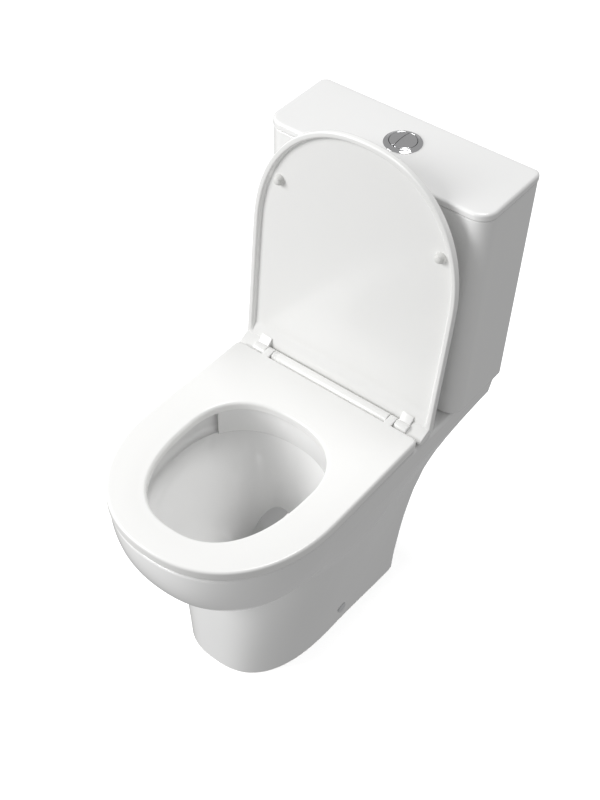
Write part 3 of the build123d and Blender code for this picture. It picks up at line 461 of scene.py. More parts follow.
def glazed_ceramic(colours):
    """White glaze: faint mottle in the colour, slight waviness, bare clay under the foot."""
    finish = Finish("glazed_ceramic")
    mottle = finish.noise(9.0, 4.0)
    pin = finish.between(finish.speckle(210.0), 0.0, 0.12, 1.0, 0.0)
    rare = finish.between(finish.noise(31.0, 1.0), 0.66, 0.72)
    glaze = finish.blend(mottle, shade(colours.glaze, 0.985), shade(colours.glaze, 1.012))
    glaze = finish.blend(pin * rare * 0.25, glaze, shade(colours.biscuit, 0.8))
    edge = finish.height() + finish.noise(60.0, 2.0) * 0.0012
    bare = finish.between(edge, 0.0008, 0.0022, 1.0, 0.0)
    finish.set(Base_Color=finish.blend(bare, glaze, shade(colours.biscuit, 1.0)),
               Roughness=0.10 + mottle * 0.05 + bare * 0.6, IOR=1.52, Coat_Weight=0.6,
               Coat_Roughness=0.03, Coat_IOR=1.5)
    waves = finish.noise(26.0, 2.0) * 0.6 + finish.noise(140.0, 1.0) * 0.08
    finish.relief(waves + finish.noise(900.0, 1.0) * bare * 0.5, 0.0006, 0.35)


def seat_plastic(colours):
    """Moulded thermoset: even white, soft gloss, very fine texture and faint rub marks."""
    finish = Finish("seat_plastic")
    cloud = finish.noise(5.0, 3.0)
    rub = finish.between(finish.noise(38.0, 3.0, (1.0, 0.25, 1.0)), 0.52, 0.75)
    tone = finish.blend(cloud, shade(colours.seat, 0.985), shade(colours.seat, 1.01))
    finish.set(Base_Color=tone,
               Roughness=0.20 + cloud * 0.05 + rub * 0.05, IOR=1.49, Coat_Weight=0.35,
               Coat_Roughness=0.08)
    finish.relief(finish.noise(1400.0, 2.0) + finish.noise(60.0, 2.0) * 2.0, 0.00006, 0.3)


def chrome_plate(colours):
    """Bright plating with faint water marks and hairlines."""
    finish = Finish("chrome_plate")
    marks = finish.between(finish.speckle(160.0), 0.05, 0.3, 1.0, 0.0) * finish.noise(70.0, 3.0)
    hairs = finish.noise(300.0, 2.0, (1.0, 0.02, 1.0))
    finish.set(Base_Color=finish.blend(marks, shade(colours.chrome, 1.0),
                                       shade(colours.chrome, 0.93)),
               Metallic=1.0, Roughness=0.05 + marks * 0.10 + hairs * 0.03)
    finish.relief(hairs + finish.noise(30.0, 2.0), 0.00003, 0.25)


def moulded(name, colour, roughness, grain=700.0):
    """Injection moulded plastic with a fine grain, flow clouding and a little dust."""
    finish = Finish(name)
    cloud = finish.noise(24.0, 3.0)
    dust = finish.between(finish.noise(120.0, 4.0), 0.55, 0.8)
    tone = finish.blend(cloud, shade(colour, 0.93), shade(colour, 1.05))
    finish.set(Base_Color=finish.blend(dust * 0.12, tone, (0.55, 0.54, 0.52, 1.0)),
               Roughness=roughness + cloud * 0.08 + dust * 0.12, IOR=1.47)
    finish.relief(finish.noise(grain, 2.0) + cloud, 0.00012, 0.35)


def soft_rubber(name, colour):
    """Matt rubber with a fine pebble and paler bloom."""
    finish = Finish(name)
    bloom = finish.between(finish.noise(55.0, 4.0), 0.45, 0.75)
    finish.set(Base_Color=finish.blend(bloom * 0.35, shade(colour, 1.0), shade(colour, 1.7)),
               Roughness=0.62 + bloom * 0.2, IOR=1.5)
    finish.relief(finish.speckle(1100.0) + finish.noise(200.0, 2.0), 0.00015, 0.5)


def turned_metal(name, colour, roughness, pitch):
    """Machined metal: fine turning lines up the axis and light staining."""
    finish = Finish(name)
    lines = finish.noise(1.0, 2.0, (18.0, 18.0, pitch))
    stain = finish.between(finish.noise(85.0, 4.0), 0.5, 0.8)
    finish.set(Base_Color=finish.blend(stain * 0.5, shade(colour, 1.0), shade(colour, 0.72)),
               Metallic=1.0, Roughness=roughness + lines * 0.12 + stain * 0.15)
    finish.relief(lines, 0.00008, 0.4)


def studio_floor(colours):
    """Matt pale floor with barely visible grain."""
    finish = Finish("studio_floor")
    grain = finish.noise(2.0, 3.0)
    tone = finish.blend(grain, shade(colours.floor, 0.995), shade(colours.floor, 1.0))
    finish.set(Base_Color=tone,
               Roughness=0.9 + grain * 0.05, Specular_IOR_Level=0.1)
    return finish.material


def make_finishes(colours):
    """Every finish, named after its slot."""
    glazed_ceramic(colours)
    seat_plastic(colours)
    chrome_plate(colours)
    moulded("valve_plastic", colours.fitting, 0.38)
    moulded("valve_plastic_blue", colours.accent, 0.34)
    soft_rubber("rubber", colours.rubber)
    soft_rubber("buffer_rubber", colours.buffer)
    turned_metal("brass", colours.brass, 0.24, 1500.0)
    turned_metal("steel", colours.steel, 0.22, 1700.0)
    moulded("cap_grey", colours.cap, 0.32, 900.0)
    moulded("black_plastic", colours.rubber, 0.42)


def finish_of(slot):
    """The finish made for a slot of the record."""
    return bpy.data.materials["glazed_ceramic" if slot == "vitreous_china"
                              else "chrome_plate" if slot == "chrome" else slot]


# ---- pan -----------------------------------------------------------------------------------
def pedestal_radius(phi, z, sizes, inset=0.0):
    """Polar outline of pedestal and deck: the half width grows as z^1.15, the rear leans back
    evenly, sweeps out as a power curve to the deck's foot, and the deck's edge leans too."""
    foot = RIM_Z - sizes.deck_edge
    share = np.minimum(z, foot) / foot
    edge = np.maximum(z - foot, 0) / sizes.deck_edge
    taper, lean, slope, start = 2.5 * MM, 9.5 * MM, 44.5 * MM, 0.67
    width = sizes.foot_half_width + (sizes.deck_half_width - sizes.foot_half_width) * share ** 1.15
    spread = sizes.deck_half_width - taper - sizes.foot_rear_half_width
    rear_width = sizes.foot_rear_half_width + spread * share ** 2.5 + taper * edge
    flare = np.clip((share - start) / (1 - start), 0, 1) ** 2.5
    reach = PAN_HIGH[1] - lean - sizes.foot_rear - slope
    rear = sizes.foot_rear + slope * share + reach * flare + lean * edge
    return horseshoe_radius(phi, width - inset, sizes.foot_front - inset, rear_width - inset,
                            rear - inset, np.maximum(sizes.rear_corner - inset / 2, 0.002), 2.6)


def bowl_exit(phi, z, sizes, inset=0.0):
    """Distance from the axis to where a ray leaves the bowl's outer oval, or zero where it
    misses it; found by halving on the oval's equation."""
    depth = np.clip((RIM_Z - z) / sizes.bowl_depth, 0, 0.999)
    scale = (1 - depth ** 2.34) ** 0.54
    half_x = np.maximum(sizes.rim_half_width * scale - inset, 1e-4)
    front = np.maximum((sizes.rim_front - sizes.bowl_centre) * scale - inset, 1e-4)
    rear = np.maximum(0.215 * scale - inset, 1e-4)
    power = OVAL_POWER

    def outside(t):
        x, y = t * np.cos(phi), t * np.sin(phi) + sizes.bowl_centre
        return (np.abs(x) / half_x) ** power + (np.abs(y) / np.where(y < 0, front, rear)) ** power
    low, high = np.zeros_like(phi + z), np.full_like(phi + z, 0.5)
    near, far = low.copy(), high.copy()
    for _ in range(36):
        first, second = near + (far - near) / 3, far - (far - near) / 3
        nearer = outside(first) < outside(second)
        near, far = np.where(nearer, near, first), np.where(nearer, second, far)
    low = (near + far) / 2
    misses = outside(low) > 1
    for _ in range(36):
        middle = (low + high) / 2
        beyond = outside(middle) > 1
        low, high = np.where(beyond, low, middle), np.where(beyond, middle, high)
    return np.where(misses, 0.0, low)


def soft_larger(a, b, softness):
    """The larger of two values, rounded where they are nearly equal."""
    overlap = np.maximum(softness - np.abs(a - b), 0) / softness
    return np.maximum(a, b) + overlap ** 2 * softness / 4


def pan_radius(phi, z, sizes, inset=0.0):
    """Outline of the whole pan: the pedestal and the bowl, blended in their crease, which is
    softer towards the rear and below the rim."""
    aside = np.clip(np.sin(phi) + 0.75, 0, 1)
    softness = 0.012 + 0.060 * aside * np.clip((RIM_Z - 0.030 - z) / 0.080, 0, 1)
    return soft_larger(pedestal_radius(phi, z, sizes, inset), bowl_exit(phi, z, sizes, inset),
                       softness)


def basin_rings(phi, sizes, grow, steps):
    """Inside of the bowl from sump to ledge: an oval that widens and moves forward as the
    height's share to the power 2.2, gentle at the top and steep towards the sump."""
    share = np.concatenate([np.full(5, 0.0), np.linspace(0, 1, steps) ** 0.8])[:, None]
    shrink = np.concatenate([[0.15, 0.4, 0.65, 0.85, 0.96], np.ones(steps)])[:, None]
    ease = share ** 2.2
    sump_width, sump_length, sump_centre = 0.040, 0.044, -0.052
    width = sump_width + (sizes.mouth_half_width - sizes.ledge - sump_width) * ease + grow
    front = sump_length + (sizes.mouth_front - sizes.ledge - sump_length) * ease + grow
    rear = sump_length + (sizes.mouth_rear - sizes.ledge - sump_length) * ease + grow
    centre = sump_centre + (-sizes.bowl_centre - sump_centre) * ease
    low = sizes.sump_z - grow
    z = low + (RIM_Z - sizes.band_depth - low) * share
    dish = 0.012 * (1 - np.sqrt(np.maximum(1 - shrink ** 4, 0)))
    lift = np.where(share == 0, dish, 0.012 * np.maximum(1 - share * 10, 0))
    return oval(phi, width * shrink, front * shrink, rear * shrink, OVAL_POWER, centre, z + lift)


def band_ring(phi, sizes, z, grow=0.0):
    """One or more rings of the upright band below the rim."""
    return oval(phi, sizes.mouth_half_width + grow, sizes.mouth_front + grow,
                sizes.mouth_rear + grow, OVAL_POWER, -sizes.bowl_centre, z)


def pan_grid(sizes):
    """The whole pan as one surface: sump, slope, ledge, band, rim, deck, outside, foot, inside
    of the hollow pedestal, underside of the deck, and the basin's outer skin."""
    phi = columns(sizes.deck_half_width - 0.4 * sizes.rear_corner,
                  PAN_HIGH[1] - 0.4 * sizes.rear_corner)[None, :]
    turn = quarter(6)[:, None]
    r = sizes.rim_round
    basin = basin_rings(phi, sizes, 0.0, 30)
    ledge_z = RIM_Z - sizes.band_depth
    step = np.linspace(0.25, 1, 4)[:, None]
    ledge = oval(phi, sizes.mouth_half_width - sizes.ledge * (1 - step),
                 sizes.mouth_front - sizes.ledge * (1 - step),
                 sizes.mouth_rear - sizes.ledge * (1 - step), OVAL_POWER, -sizes.bowl_centre,
                 ledge_z + 0.010 * step ** 2.5)
    band = band_ring(phi, sizes, np.linspace(ledge_z + 0.014, RIM_Z - r, 8)[:, None])
    mouth = band_ring(phi, sizes, RIM_Z - r * (1 - np.sin(turn)), r * (1 - np.cos(turn)))
    inner = band_ring(phi, sizes, RIM_Z, r)
    edge = ring_points(phi, pan_radius(phi, RIM_Z + 0 * turn[:1], sizes) - r, 0.0, RIM_Z)
    share = np.array([0.08, 0.35, 0.65, 0.92])[:, None, None]
    deck = inner * (1 - share) + edge * share
    low_z = RIM_Z - r * (1 - np.cos(turn))
    rounding = ring_points(phi, pan_radius(phi, low_z, sizes) - r * (1 - np.sin(turn)), 0.0, low_z)
    crease = RIM_Z - sizes.deck_edge
    sides_z = np.concatenate([np.linspace(RIM_Z - r - 0.002, crease, 8),
                              np.linspace(crease - 0.004, 0.004, 84)])[:, None]
    sides = ring_points(phi, pan_radius(phi, sides_z, sizes), 0.0, sides_z)
    foot_r = 0.0025
    foot_z = foot_r * (1 - np.sin(turn))
    foot = ring_points(phi, pan_radius(phi, foot_z, sizes) - foot_r * (1 - np.cos(turn)), 0.0,
                       foot_z)
    ceiling = RIM_Z - 0.014
    hollow_z = np.concatenate([[0.0], np.linspace(0.003, ceiling - 0.004, 34), [ceiling]])[:, None]
    hollow = ring_points(phi, pan_radius(phi, hollow_z, sizes, sizes.wall), 0.0, hollow_z)
    skin = band_ring(phi, sizes, np.array([ceiling, ceiling - 0.003, ledge_z])[:, None], 0.010)
    span = np.array([0.05, 0.5, 0.95])[:, None, None]
    under = hollow[-1:] * (1 - span) + skin[:1] * span
    lower = basin_rings(phi, sizes, 0.010, 18)[::-1]
    return np.concatenate([basin, ledge, band, mouth, deck, rounding, sides, foot, hollow, under,
                           skin, lower])


def soft_box(low, high, radius, count=64):
    """Closed box with rounded upright edges, as rings of a rounded rectangle."""
    low, high = np.asarray(low), np.asarray(high)
    centre, half = (low + high) / 2, (high - low) / 2
    turn = np.linspace(0, 2 * math.pi, count, endpoint=False)[None, :]
    x = np.clip(np.cos(turn) * 4, -1, 1)
    y = np.clip(np.sin(turn) * 4, -1, 1)
    ring = np.stack([x * (half[0] - radius) + radius * np.cos(turn),
                     y * (half[1] - radius) + radius * np.sin(turn)], axis=-1)
    rows = []
    for share, z in ((0.01, low[2]), (1, low[2]), (1, high[2]), (0.01, high[2])):
        flat = centre[:2] + ring[0] * share
        rows.append(np.concatenate([flat, np.full((count, 1), z)], axis=1))
    return np.array(rows)


TRAP_ROUTE = ((-0.044, 0.158), (0.085, 0.238), (0.143, 0.180), (0.226, 0.180))
TRAP_BEND = 0.054


class TOILET_OT_pan(bpy.types.Operator):
    """Build the glazed pan with its bowl, trapway and water way"""
    bl_idname = "toilet.pan"
    bl_label = "Pan"

    def execute(self, context):
        sizes = context.scene.toilet_pan
        glaze = finish_of("vitreous_china")
        pan = add_piece("pan_body", pan_grid(sizes), glaze, "pan_and_cistern",
                        ["pan"])
        cutters = [(soft_box((-0.096, 0.128, -0.01), (0.096, 0.33, 0.356), 0.012), False)]
        path = rounded_path(TRAP_ROUTE, TRAP_BEND)
        bore = tube_along(path, 0.0400, 0.0001)
        cutters.append((bore[:len(path)], False))
        for node in ("cistern_bolt_left", "cistern_bolt_right", "seat_bolt_left",
                     "seat_bolt_right"):
            x, y = node_axis(node)
            cutters.append(upright_cutter(0.0055, x, y, RIM_Z - 0.020, RIM_Z + 0.004))
        x, y = node_axis("inlet_nut")
        cutters.append(upright_cutter(0.0194, x, y, RIM_Z - 0.020, RIM_Z + 0.004, 48))
        cutters.append(upright_cutter(0.0200, x, y, RIM_Z - 0.120, RIM_Z - 0.0141, 48))
        x, y = node_axis("doughnut_washer")
        cutters.append(upright_cutter(0.046, x, y, RIM_Z - 0.020, RIM_Z + 0.004, 64))
        for side in ("left", "right"):
            low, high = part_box("side_cap_" + side)
            away = math.copysign(1, low[0])
            face = min(abs(low[0]), abs(high[0]))
            y, z = (low[1] + high[1]) / 2, (low[2] + high[2]) / 2
            profile = [(1e-5, face - 0.03), (0.0036, face - 0.03), (0.0036, face),
                       (0.0101, face), (0.0101, face + 0.03), (1e-5, face + 0.03)]
            grid = lying(revolve(profile, 0.0, y, 40))
            grid = grid * np.array([away, 1.0, 1.0]) + np.array([0.0, 0.0, z])
            cutters.append((grid, False))
        cut(pan, cutters)
        add_piece("trapway", tube_along(path[3:], 0.0495, 0.0402), glaze, "pan_and_cistern",
                  closed_rows=True, sharp=40)
        spigot_end = path[-1][0]
        collar = rounded_profile([(0.0497, 0.0), (0.0510, 0.0015), (0.0510, 0.0135),
                                  (0.0497, 0.0150), (0.0490, 0.0150), (0.0490, 0.0)], 0.0006)
        ring = revolve(collar, 0.0, 0.0, 72)[..., [0, 2, 1]]
        ring = ring * np.array([1.0, -1.0, 1.0]) + np.array([0.0, spigot_end, path[-1][1]])
        add_piece("spigot_collar", ring, glaze, "pan_and_cistern",
                  closed_rows=True)
        self.add_distributor(sizes, glaze)
        self.add_horn(glaze)
        return {"FINISHED"}

    def add_distributor(self, sizes, glaze):
        """Curved guard across the back of the band that turns the flush water to both sides:
        a roof level with the rim and a wall that runs down into the slope, both following the
        band's own oval over the rear third of the turn."""
        span = np.linspace(math.radians(33), math.radians(147), 72)[None, :]
        top, near, far = RIM_Z - 0.0004, 0.006, 0.011
        shapes = {"flush_roof": [(0.009, top - 0.0001), (-near - 0.003, top - 0.0001),
                                 (-near - 0.003, top - 0.006), (0.009, top - 0.006)],
                  "flush_distributor": [(-near, top), (-far, top), (-far, top - 0.0515),
                                        (-near, top - 0.0515)]}
        for name, corners in shapes.items():
            profile = rounded_profile(corners, 0.0022)
            grid = oval(span, sizes.mouth_half_width + profile[:, :1],
                        sizes.mouth_front + profile[:, :1], sizes.mouth_rear + profile[:, :1],
                        OVAL_POWER, -sizes.bowl_centre, profile[:, 1:])
            add_piece(name, grid.swapaxes(0, 1), glaze, "pan_and_cistern")

    def add_horn(self, glaze):
        """Short round socket under the deck that holds the washer between cistern and pan."""
        x, y = node_axis("doughnut_washer")
        low = RIM_Z - 0.054
        profile = rounded_profile([(0.0462, RIM_Z - 0.013), (0.0552, RIM_Z - 0.013),
                                   (0.0552, low), (0.020, low), (0.020, low + 0.005),
                                   (0.0462, low + 0.005)], 0.002)
        add_piece("flush_horn", revolve(profile, x, y, 72), glaze, "pan_and_cistern",
                  closed_rows=True)


def node_axis(node):
    """Middle of a CAD node in plan."""
    low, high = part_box(node)
    return (low[0] + high[0]) / 2, (low[1] + high[1]) / 2


# ---- cistern -------------------------------------------------------------------------------
def tank_radius(phi, half_width, front, back, front_corner, back_corner):
    """Polar radius of a rectangle with large front corners and small back ones."""
    turned = np.where(np.sin(phi) < 0, -phi, phi)
    ahead = horseshoe_radius(turned, half_width, back, half_width, front, front_corner, 8.0)
    behind = horseshoe_radius(turned, half_width, back, half_width, back, back_corner, 8.0)
    return np.where(np.sin(phi) < 0, ahead, behind)


def tank_columns(half_width, half_depth, corner):
    """Polar angles round the cistern, closer together at its four corners."""
    fine = np.linspace(-math.pi, math.pi, 4001)
    place = math.atan2(half_depth - 0.3 * corner, half_width - 0.3 * corner)
    weight = np.ones_like(fine)
    for angle in (place, math.pi - place, -place, place - math.pi):
        weight += 5 * np.exp(-((fine - angle) / 0.09) ** 2)
    total = np.concatenate([[0], np.cumsum((weight[1:] + weight[:-1]) / 2)])
    return np.interp(np.arange(COLUMNS) / COLUMNS, total / total[-1], fine)[None, :]


def tank_rings(phi, z, inset, centre_y, grow_low, grow_high, front, back):
    """Rings of the cistern's outline at heights z; its half width runs evenly from foot to
    head, and every side moves in by the inset."""
    share = (z - TANK_LOW[2]) / (TANK_HIGH[2] - TANK_LOW[2])
    half = grow_low + (grow_high - grow_low) * share - inset
    front_corner = np.maximum(FRONT_CORNER - inset, 0.004)
    back_corner = np.maximum(BACK_CORNER - inset, 0.003)
    radius = tank_radius(phi, half, centre_y - front - inset, back - centre_y - inset,
                         front_corner, back_corner)
    return ring_points(phi, radius, centre_y, z)


class TOILET_OT_cistern(bpy.types.Operator):
    """Build the glazed cistern tank and its lift-off cover"""
    bl_idname = "toilet.cistern"
    bl_label = "Cistern"

    def execute(self, context):
        glaze = finish_of("vitreous_china")
        self.add_tank(glaze)
        self.add_cover(glaze)
        return {"FINISHED"}

    def add_tank(self, glaze):
        """Tank as one surface: under the floor, round the outside, over the lip and inside."""
        foot_half, head_half = 0.1865, TANK_HIGH[0]
        front, back = TANK_LOW[1], TANK_HIGH[1]
        centre_y = (front + back) / 2
        phi = tank_columns(head_half, (back - front) / 2, FRONT_CORNER)
        turn = quarter(6)[:, None]
        low, high = TANK_LOW[2], TANK_HIGH[2]

        def rings(z, inset):
            return tank_rings(phi, np.asarray(z, dtype=float), inset, centre_y, foot_half,
                              head_half, front, back)
        r, lip, wall = 0.006, 0.002, 0.010
        parts = [rings(low + 0 * turn[:3], np.array([0.05, 0.03, 0.012])[:, None]),
                 rings(low + r * (1 - np.cos(turn)), r * (1 - np.sin(turn))),
                 rings(np.linspace(low + r + 0.004, high - lip - 0.002, 40)[:, None], 0.0),
                 rings(high - lip * (1 - np.sin(turn)), lip * (1 - np.cos(turn))),
                 rings(high - lip * (1 - np.cos(turn)), wall - lip * (1 - np.sin(turn))),
                 rings(np.linspace(high - lip - 0.002, low + 0.022, 24)[:, None], wall),
                 rings(low + 0.020 - 0.008 * np.sin(turn), wall + 0.008 * (1 - np.cos(turn))),
                 rings(low + 0.012 + 0 * turn[:2], np.array([0.03, 0.05])[:, None])]
        tank = add_piece("cistern_tank", np.concatenate(parts), glaze, "pan_and_cistern",
                         ["cistern"])
        holes = []
        for node, radius in (("flush_seal", 0.0325), ("inlet_nut", 0.011),
                             ("cistern_bolt_left", 0.0055), ("cistern_bolt_right", 0.0055)):
            x, y = node_axis(node)
            holes.append(upright_cutter(radius, x, y, low - 0.004, low + 0.016, 48))
        cut(tank, holes)

    def add_cover(self, glaze):
        """Cover as one surface round the button's hole: top with a soft edge, upright side,
        foot, locating lip and hollow underside."""
        front, back = COVER_LOW[1], COVER_HIGH[1]
        half = COVER_HIGH[0]
        bottom, top = TANK_HIGH[2] + 0.002, COVER_HIGH[2]
        centre_y = (front + back) / 2
        phi = tank_columns(half, (back - front) / 2, FRONT_CORNER)
        turn = quarter(8)[:, None]

        def rings(z, inset):
            front_corner = np.maximum(FRONT_CORNER - inset, 0.004)
            back_corner = np.maximum(BACK_CORNER - inset, 0.002)
            radius = tank_radius(phi, half - inset, centre_y - front - inset,
                                 back - centre_y - inset, front_corner, back_corner)
            return ring_points(phi, radius + 0 * np.asarray(z), centre_y, z)
        hole = 0.0236 + 0 * turn[:1]
        plate = top - 0.008

        def round_hole(z, grow):
            return ring_points(phi, hole + grow, BUTTON_CENTRE[1], z + 0 * hole)
        r, small = 0.0045, 0.0012
        crown = np.array([0.04, 0.2, 0.45, 0.7, 0.9])[:, None, None]
        first, last = round_hole(top, 0.001), rings(top, r + 0.012 + 0 * hole)
        face = first * (1 - crown) + last * crown
        near, far = round_hole(plate, 0.001), rings(plate, 0.026 + 0 * hole)
        span = np.array([0.95, 0.5, 0.06])[:, None, None]
        under = near * (1 - span) + far * span
        slope = np.array([0.010, 0.004])[:, None]
        parts = [round_hole(top - 0.001, 0), round_hole(top, 0.001), face,
                 rings(top - 0.00015 * (1 - slope / 0.012), r + slope),
                 rings(top - r * (1 - np.cos(turn)) - 0.00015, r * (1 - np.sin(turn))),
                 rings(np.linspace(top - r - 0.002, bottom + small + 0.001, 4)[:, None], 0.0),
                 rings(bottom + small * (1 - np.sin(turn)), small * (1 - np.cos(turn))),
                 rings(bottom, 0.0035 + 0 * hole), rings(bottom, 0.0048 + 0 * hole),
                 rings(TANK_HIGH[2] + 0.0002, 0.0052 + 0 * hole),
                 rings(TANK_HIGH[2] + 0.0002, 0.0150 + 0 * hole),
                 rings(TANK_HIGH[2] - 0.0102, 0.0160 + 0 * hole),
                 rings(TANK_HIGH[2] - 0.0110, 0.0175 + 0 * hole),
                 rings(TANK_HIGH[2] - 0.0110, 0.0205 + 0 * hole),
                 rings(TANK_HIGH[2] - 0.0100, 0.0218 + 0 * hole),
                 rings(plate - 0.003, 0.0230 + 0 * hole), under, round_hole(plate, 0.0)]
        add_piece("cistern_lid", np.concatenate(parts), glaze, "pan_and_cistern",
                  ["cistern_cover"], closed_rows=True, sharp=50)


# ---- flush button --------------------------------------------------------------------------
class TOILET_OT_button(bpy.types.Operator):
    """Build the plated bezel and the two-part flush button"""
    bl_idname = "toilet.button"
    bl_label = "Flush button"

    def execute(self, context):
        chrome = finish_of("chrome")
        self.add_bezel(chrome)
        full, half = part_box("full_button"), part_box("half_button")
        self.add_half("full_flush_plate", full[0][0], 1, chrome, "full_flush", "full_button")
        self.add_half("half_flush_plate", half[1][0], -1, chrome, "half_flush", "half_button")
        return {"FINISHED"}

    def add_bezel(self, chrome):
        """Bezel turned from one profile: low skirt, bright lip, threaded sleeve and shelf."""
        base, top = BUTTON_CENTRE[2], BEZEL_HIGH[2]
        bore, outer, low = 0.0210, 0.0234, BEZEL_LOW[2]
        lip = top - base
        turns = np.arange(13)
        ridge = low + 0.003 + np.repeat(turns, 2) * 0.0016
        thread = np.stack([outer - 0.0005 * (np.arange(26) % 2), ridge], axis=1)
        profile = [(bore, low), (outer - 0.0008, low), *thread, (outer, base - 0.0002)]
        skirt = [(0.0288, base - 0.0001), (0.0290, base + 0.0005), (0.0288, base + 0.0010),
                 (0.0278, base + 0.0015), (0.0258, base + 0.0021), (0.0245, base + 0.0028)]
        edge = [(0.0239, base + lip - 0.0005), (0.0231, base + lip - 0.0001),
                (0.0222, base + lip), (0.0215, base + lip - 0.0003), (0.0211, base + lip - 0.0009),
                (bore, base + lip - 0.0020), (bore, base - 0.010)]
        grid = revolve(profile + skirt + edge, *BUTTON_CENTRE[:2], 144)
        add_piece("button_bezel_shell", grid, chrome, "pan_and_cistern",
                  ["button_bezel"], closed_rows=True, sharp=55)
        shelf = rounded_profile([(0.0002, low), (bore - 0.0001, low), (bore - 0.0001, low + 0.003),
                                 (0.0002, low + 0.003)], 0.0004)
        plate = add_piece("sleeve_shelf", revolve(shelf, *BUTTON_CENTRE[:2], 72),
                          finish_of("valve_plastic"), "pan_and_cistern",
                          closed_rows=True, sharp=40)
        holes = []
        for node in ("full_push_rod", "half_push_rod"):
            x, y = node_axis(node)
            holes.append(upright_cutter(0.0036, x, y, low - 0.002, low + 0.005))
        cut(plate, holes)

    def add_half(self, name, split_x, side, chrome, body, node):
        """Part of a round plate cut by a straight slit: the outline is the nearer of circle
        and slit, the top a shallow dome that rolls over its edge."""
        radius, rise = 0.0205, 0.0027
        low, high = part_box(node)
        turn = np.linspace(0, 2 * math.pi, 192, endpoint=False)[None, :]
        centre_x = (low[0] + high[0]) / 2 - side * 0.001
        c, s = np.cos(turn), np.sin(turn)
        along = centre_x * c
        circle = -along + np.sqrt(along ** 2 + radius ** 2 - centre_x ** 2)
        slit = np.where(c * side < -1e-6, (split_x - centre_x) / np.where(c * side < -1e-6, c, 1.0),
                        1.0)
        reach = (circle ** -26.0 + slit ** -26.0) ** (-1 / 26.0)
        ball = (radius ** 2 + rise ** 2) / (2 * rise)
        top = BEZEL_HIGH[2]

        def rings(inset, drop):
            x = centre_x + (reach - inset) * c
            y = (reach - inset) * s
            dome = np.sqrt(ball ** 2 - x ** 2 - y ** 2) - ball + rise
            return np.stack([x, BUTTON_CENTRE[1] + y, top + dome - drop], axis=-1)
        spread = np.array([0.97, 0.8, 0.6, 0.4, 0.2, 0.1])[:, None]
        face = rings(reach * spread, 0.0)
        roll = quarter(6)[:, None]
        edge = rings(0.0007 * (1 - np.sin(roll)), 0.0007 * (1 - np.cos(roll)))
        wall = rings(0.0 * roll[:2], np.array([0.003, 0.006])[:, None])
        under = np.array([0.0, 0.3, 0.9])[:, None, None]
        floor = wall[-1:].copy()
        floor[..., 2] = low[2]
        middle = floor.mean(axis=1, keepdims=True)
        bottom = floor * (1 - under) + middle * under
        grid = np.concatenate([face, edge, wall, bottom])
        add_piece(name, grid, chrome, body, [node], sharp=50)


# ---- seat and cover ------------------------------------------------------------------------
def seat_radius(phi, sizes, inset, rear, extra=0.0, corner=0.010):
    """Polar outline of seat and cover round the widest place."""
    half = sizes.half_width + extra - inset
    return horseshoe_radius(phi, half, sizes.front + extra - inset, half - 0.0018,
                            rear + sizes.widest - inset, np.maximum(corner - inset, 0.0015), 2.2)


def raise_cover(points):
    """The closed cover's points turned back about the hinge axis to the open rest position."""
    angle = math.radians(95.0)
    y, z = points[..., 1] - HINGE[1], points[..., 2] - HINGE[2]
    raised = points.copy()
    raised[..., 1] = HINGE[1] + y * math.cos(angle) + z * math.sin(angle)
    raised[..., 2] = HINGE[2] - y * math.sin(angle) + z * math.cos(angle)
    return raised


def barrel(x_low, x_high, radius, bore, edge=0.0008, count=72):
    """Ring lying on the hinge axis with rounded edges."""
    profile = rounded_profile([(bore, x_low), (radius, x_low), (radius, x_high), (bore, x_high)],
                              edge)
    grid = revolve(profile, 0.0, 0.0, count)
    return np.stack([grid[..., 2], grid[..., 0] + HINGE[1], grid[..., 1] + HINGE[2]], axis=-1)


def arm_grid(x_low, x_high, tip_y, z_low, z_high, radius, edge=0.0012):
    """Arm from a plate to the hinge axis: round behind the axis and flat towards the plate,
    carried along X with rounded ends."""
    back = np.linspace(-math.pi / 2, math.pi / 2, 28)
    run = np.linspace(0.0, 1.0, 12)[1:]
    bend = np.sin(run * math.pi / 2)
    along = HINGE[1] + (tip_y - HINGE[1]) * run
    top = np.stack([along, HINGE[2] + radius + (z_high - HINGE[2] - radius) * bend], 1)
    bottom = np.stack([along, HINGE[2] - radius + (z_low - HINGE[2] + radius) * bend], 1)
    arc = np.stack([HINGE[1] + radius * np.cos(back), HINGE[2] + radius * np.sin(back)], 1)
    return slab(np.concatenate([arc, top, bottom[::-1]]), x_low, x_high, edge)


def slab(outline, x_low, x_high, edge):
    """Outline of Y and Z carried along X, with its end edges rounded."""
    middle = outline.mean(axis=0)
    away = outline - middle
    size = np.linalg.norm(away, axis=1)[:, None]
    round_off = [(edge * (1 - math.sin(a)), edge * (1 - math.cos(a))) for a in quarter(5)]
    places = [(x_low, 0.004)] + [(x_low + step, inset) for step, inset in round_off[::-1]]
    places += [(x_high - step, inset) for step, inset in round_off] + [(x_high, 0.004)]
    rows = []
    for x, inset in places:
        ring = middle + away * (1 - inset / size)
        rows.append(np.concatenate([np.full((len(ring), 1), x), ring], axis=1))
    return np.array(rows)


